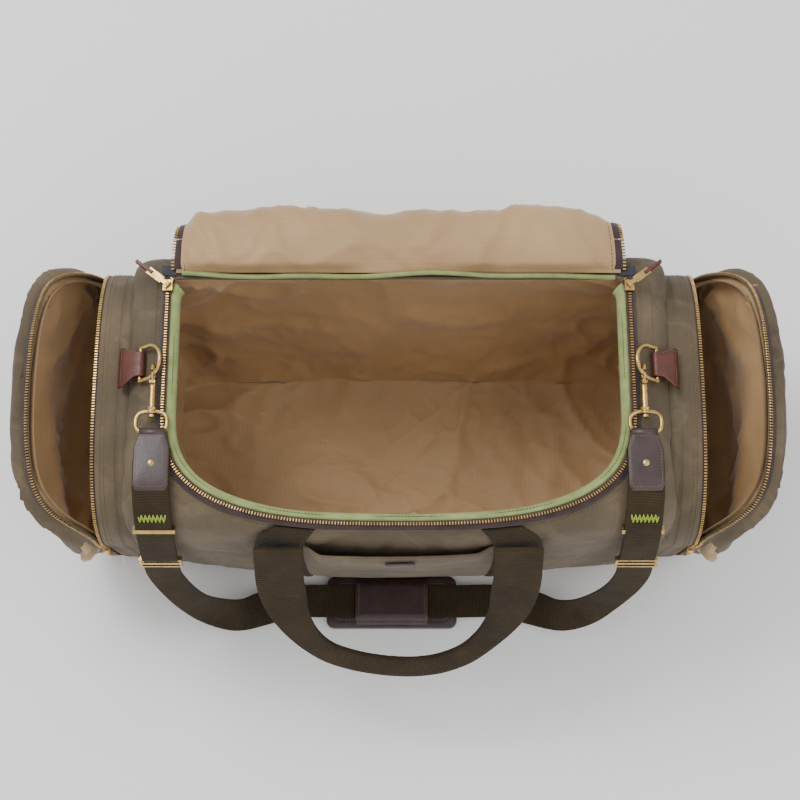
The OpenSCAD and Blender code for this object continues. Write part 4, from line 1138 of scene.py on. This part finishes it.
def rounded_box(name, centre, size, r, mat, body, crown=0.0):
    """A soft-edged pad in plan, with rounded corners and a crowned top."""
    l, w, h = size
    n = 12
    corner = []
    for cx, cy, a0 in ((1, 1, 0), (-1, 1, 90), (-1, -1, 180), (1, -1, 270)):
        for k in range(n + 1):
            a = math.radians(a0 + 90 * k / n)
            corner.append((cx * (l / 2 - r) + r * math.cos(a), cy * (w / 2 - r) + r * math.sin(a)))
    ring = even(np.hstack([np.array(corner + corner[:1]), np.zeros((len(corner) + 1, 1))]), 161)[:-1, :2]
    rows = []
    for k, z in ((0.01, 0.0), (0.6, 0.0), (0.97, 0.02), (0.995, 0.2), (1.0, 0.45), (0.995, 0.7), (0.975, 0.9), (0.945, 0.97),
                 (0.925, 0.93), (0.90, 0.98), (0.8, 1.0), (0.5, 1.0), (0.25, 1.0), (0.01, 1.0)):
        lift = crown * (1 - k ** 2) if z > 0.5 else 0
        q = ring * k if k < 0.9 else ring - unit(ring) * (1 - k) * w / 2
        rows.append(np.hstack([q + np.array(centre[:2]), np.full((len(q), 1), centre[2] + z * h + lift)]))
    g = np.stack(rows)
    uv = g[..., :2].reshape(-1, 2)
    return make(name, g.reshape(-1, 3), grid_faces(len(g), g.shape[1], True), mat, body, uv), ring


def pad():
    lo, hi = (np.array(v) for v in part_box("shoulder_pad"))
    mid = (lo + hi) / 2
    size = hi - lo
    ob, ring = rounded_box("shoulder_pad_leather", (mid[0], mid[1], lo[2]), size, 0.009, MAT["tab_leather"], "pad", 0.0)
    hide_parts("shoulder_pad")
    q = ring * [1 - 0.009 / size[0] * 2, 1 - 0.009 / size[1] * 2] + mid[:2]
    q = np.vstack([q, q[:1]])
    line = np.hstack([q, np.full((len(q), 1), hi[2] + 0.0002)])
    stitches("shoulder_pad_stitch", line, np.tile([0, 0, 1.0], (len(line), 1)), MAT["thread"], "pad", 0.0042, 0.0005)
    lo, hi = (np.array(v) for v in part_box("pad_bridge"))
    x = np.linspace(lo[0], hi[0], 30)
    y = np.concatenate([[lo[1] - 0.002, lo[1] + 0.001, lo[1] + 0.004], np.linspace(lo[1] + 0.007, hi[1] - 0.007, 14),
                        [hi[1] - 0.004, hi[1] - 0.001, hi[1] + 0.002]])
    z = np.concatenate([[lo[2] + 0.0008, lo[2] + 0.001, lo[2] + 0.0030], np.full(14, hi[2] - 0.0004), [lo[2] + 0.0030, lo[2] + 0.001, lo[2] + 0.0008]])
    g = np.stack([np.stack([np.full_like(y, xx), y, z], 1) for xx in x])
    ob = sheet_mesh("pad_bridge_leather", g, MAT["tab_leather"], "pad", thick=0.0018, offset=0.0)
    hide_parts("pad_bridge")
    for k, xx in enumerate((lo[0] + 0.004, hi[0] - 0.004)):
        line = np.stack([np.full(40, xx), np.linspace(lo[1] + 0.006, hi[1] - 0.006, 40), np.full(40, hi[2] + 0.0008)], 1)
        stitches("pad_bridge_stitch_%d" % k, line, np.tile([0, 0, 1.0], (40, 1)), MAT["thread"], "pad", 0.0036, 0.0004)


# ---- brass pieces and small trim that keep their frame shape ----

def soften(*nodes):
    """Rounds the edges of hard brass and leather pieces."""
    for n in nodes:
        ob = frame["nodes"][n]
        mod = ob.modifiers.new("edges", "BEVEL")
        mod.width = 0.0004
        mod.segments = 2
        mod.limit_method = "ANGLE"


# ---- stage ----

def stage():
    me = bpy.data.meshes.new("floor")
    e = 8.0
    me.from_pydata([(-e, -e, -0.0004), (e, -e, -0.0004), (e, e, -0.0004), (-e, e, -0.0004)], [], [(0, 1, 2, 3)])
    ob = bpy.data.objects.new("floor", me)
    bpy.context.scene.collection.objects.link(ob)
    me.materials.append(MAT["floor"])
    world = bpy.data.worlds.new("studio")
    bpy.context.scene.world = world
    world.use_nodes = True
    world.node_tree.nodes["Background"].inputs[0].default_value = (1, 1, 1, 1)
    world.node_tree.nodes["Background"].inputs[1].default_value = 0.95
    for name, place, target, size, power in (
            ("key", (-1.1, 0.9, 2.3), (0, 0, 0.1), 1.1, 40), ("fill", (1.6, -0.8, 1.9), (0, 0, 0.1), 1.8, 14),
            ("front", (0, -2.2, 1.2), (0, 0, 0.1), 1.6, 8)):
        light = bpy.data.lights.new(name, "AREA")
        light.energy = power
        light.size = size
        ob = bpy.data.objects.new(name, light)
        ob.location = place
        ob.rotation_euler = (Vector(target) - Vector(place)).to_track_quat("-Z", "Y").to_euler()
        bpy.context.scene.collection.objects.link(ob)


CAMERA_ELEVATION = math.radians(70)
CAMERA_DISTANCE = 1.945


def camera():
    cam = bpy.data.cameras.new("camera")
    cam.lens = 85
    cam.sensor_width = 36
    ob = bpy.data.objects.new("camera", cam)
    aim = Vector((0.0015, SHIFT + 0.004, 0.280))
    e = CAMERA_ELEVATION
    ob.location = aim + Vector((0, -math.cos(e), math.sin(e))) * CAMERA_DISTANCE
    ob.rotation_euler = (aim - ob.location).to_track_quat("-Z", "Y").to_euler()
    bpy.context.scene.collection.objects.link(ob)
    bpy.context.scene.camera = ob


camera()
stage()
body_canvas()
cabin_lining()
mouth_edge()
for side_name, sign in (("left", -1), ("right", 1)):
    end_pocket(side_name, sign)
lid()
bands()
slip_pocket()
front_pos = JOINT["front_handle_hinge"]["pos_m"]
rear_pos = JOINT["rear_handle_hinge"]["pos_m"]
handle("front_handle", math.radians(30), front_pos[1], False)
handle("rear_handle", math.radians(0.5), rear_pos[1], True)
strap()
pad()
soften("left_slider", "right_slider", "left_pull", "right_pull", "left_lace", "right_lace", "strap_loops",
       "left_glide", "right_glide", "left_pocket_slider", "right_pocket_slider")
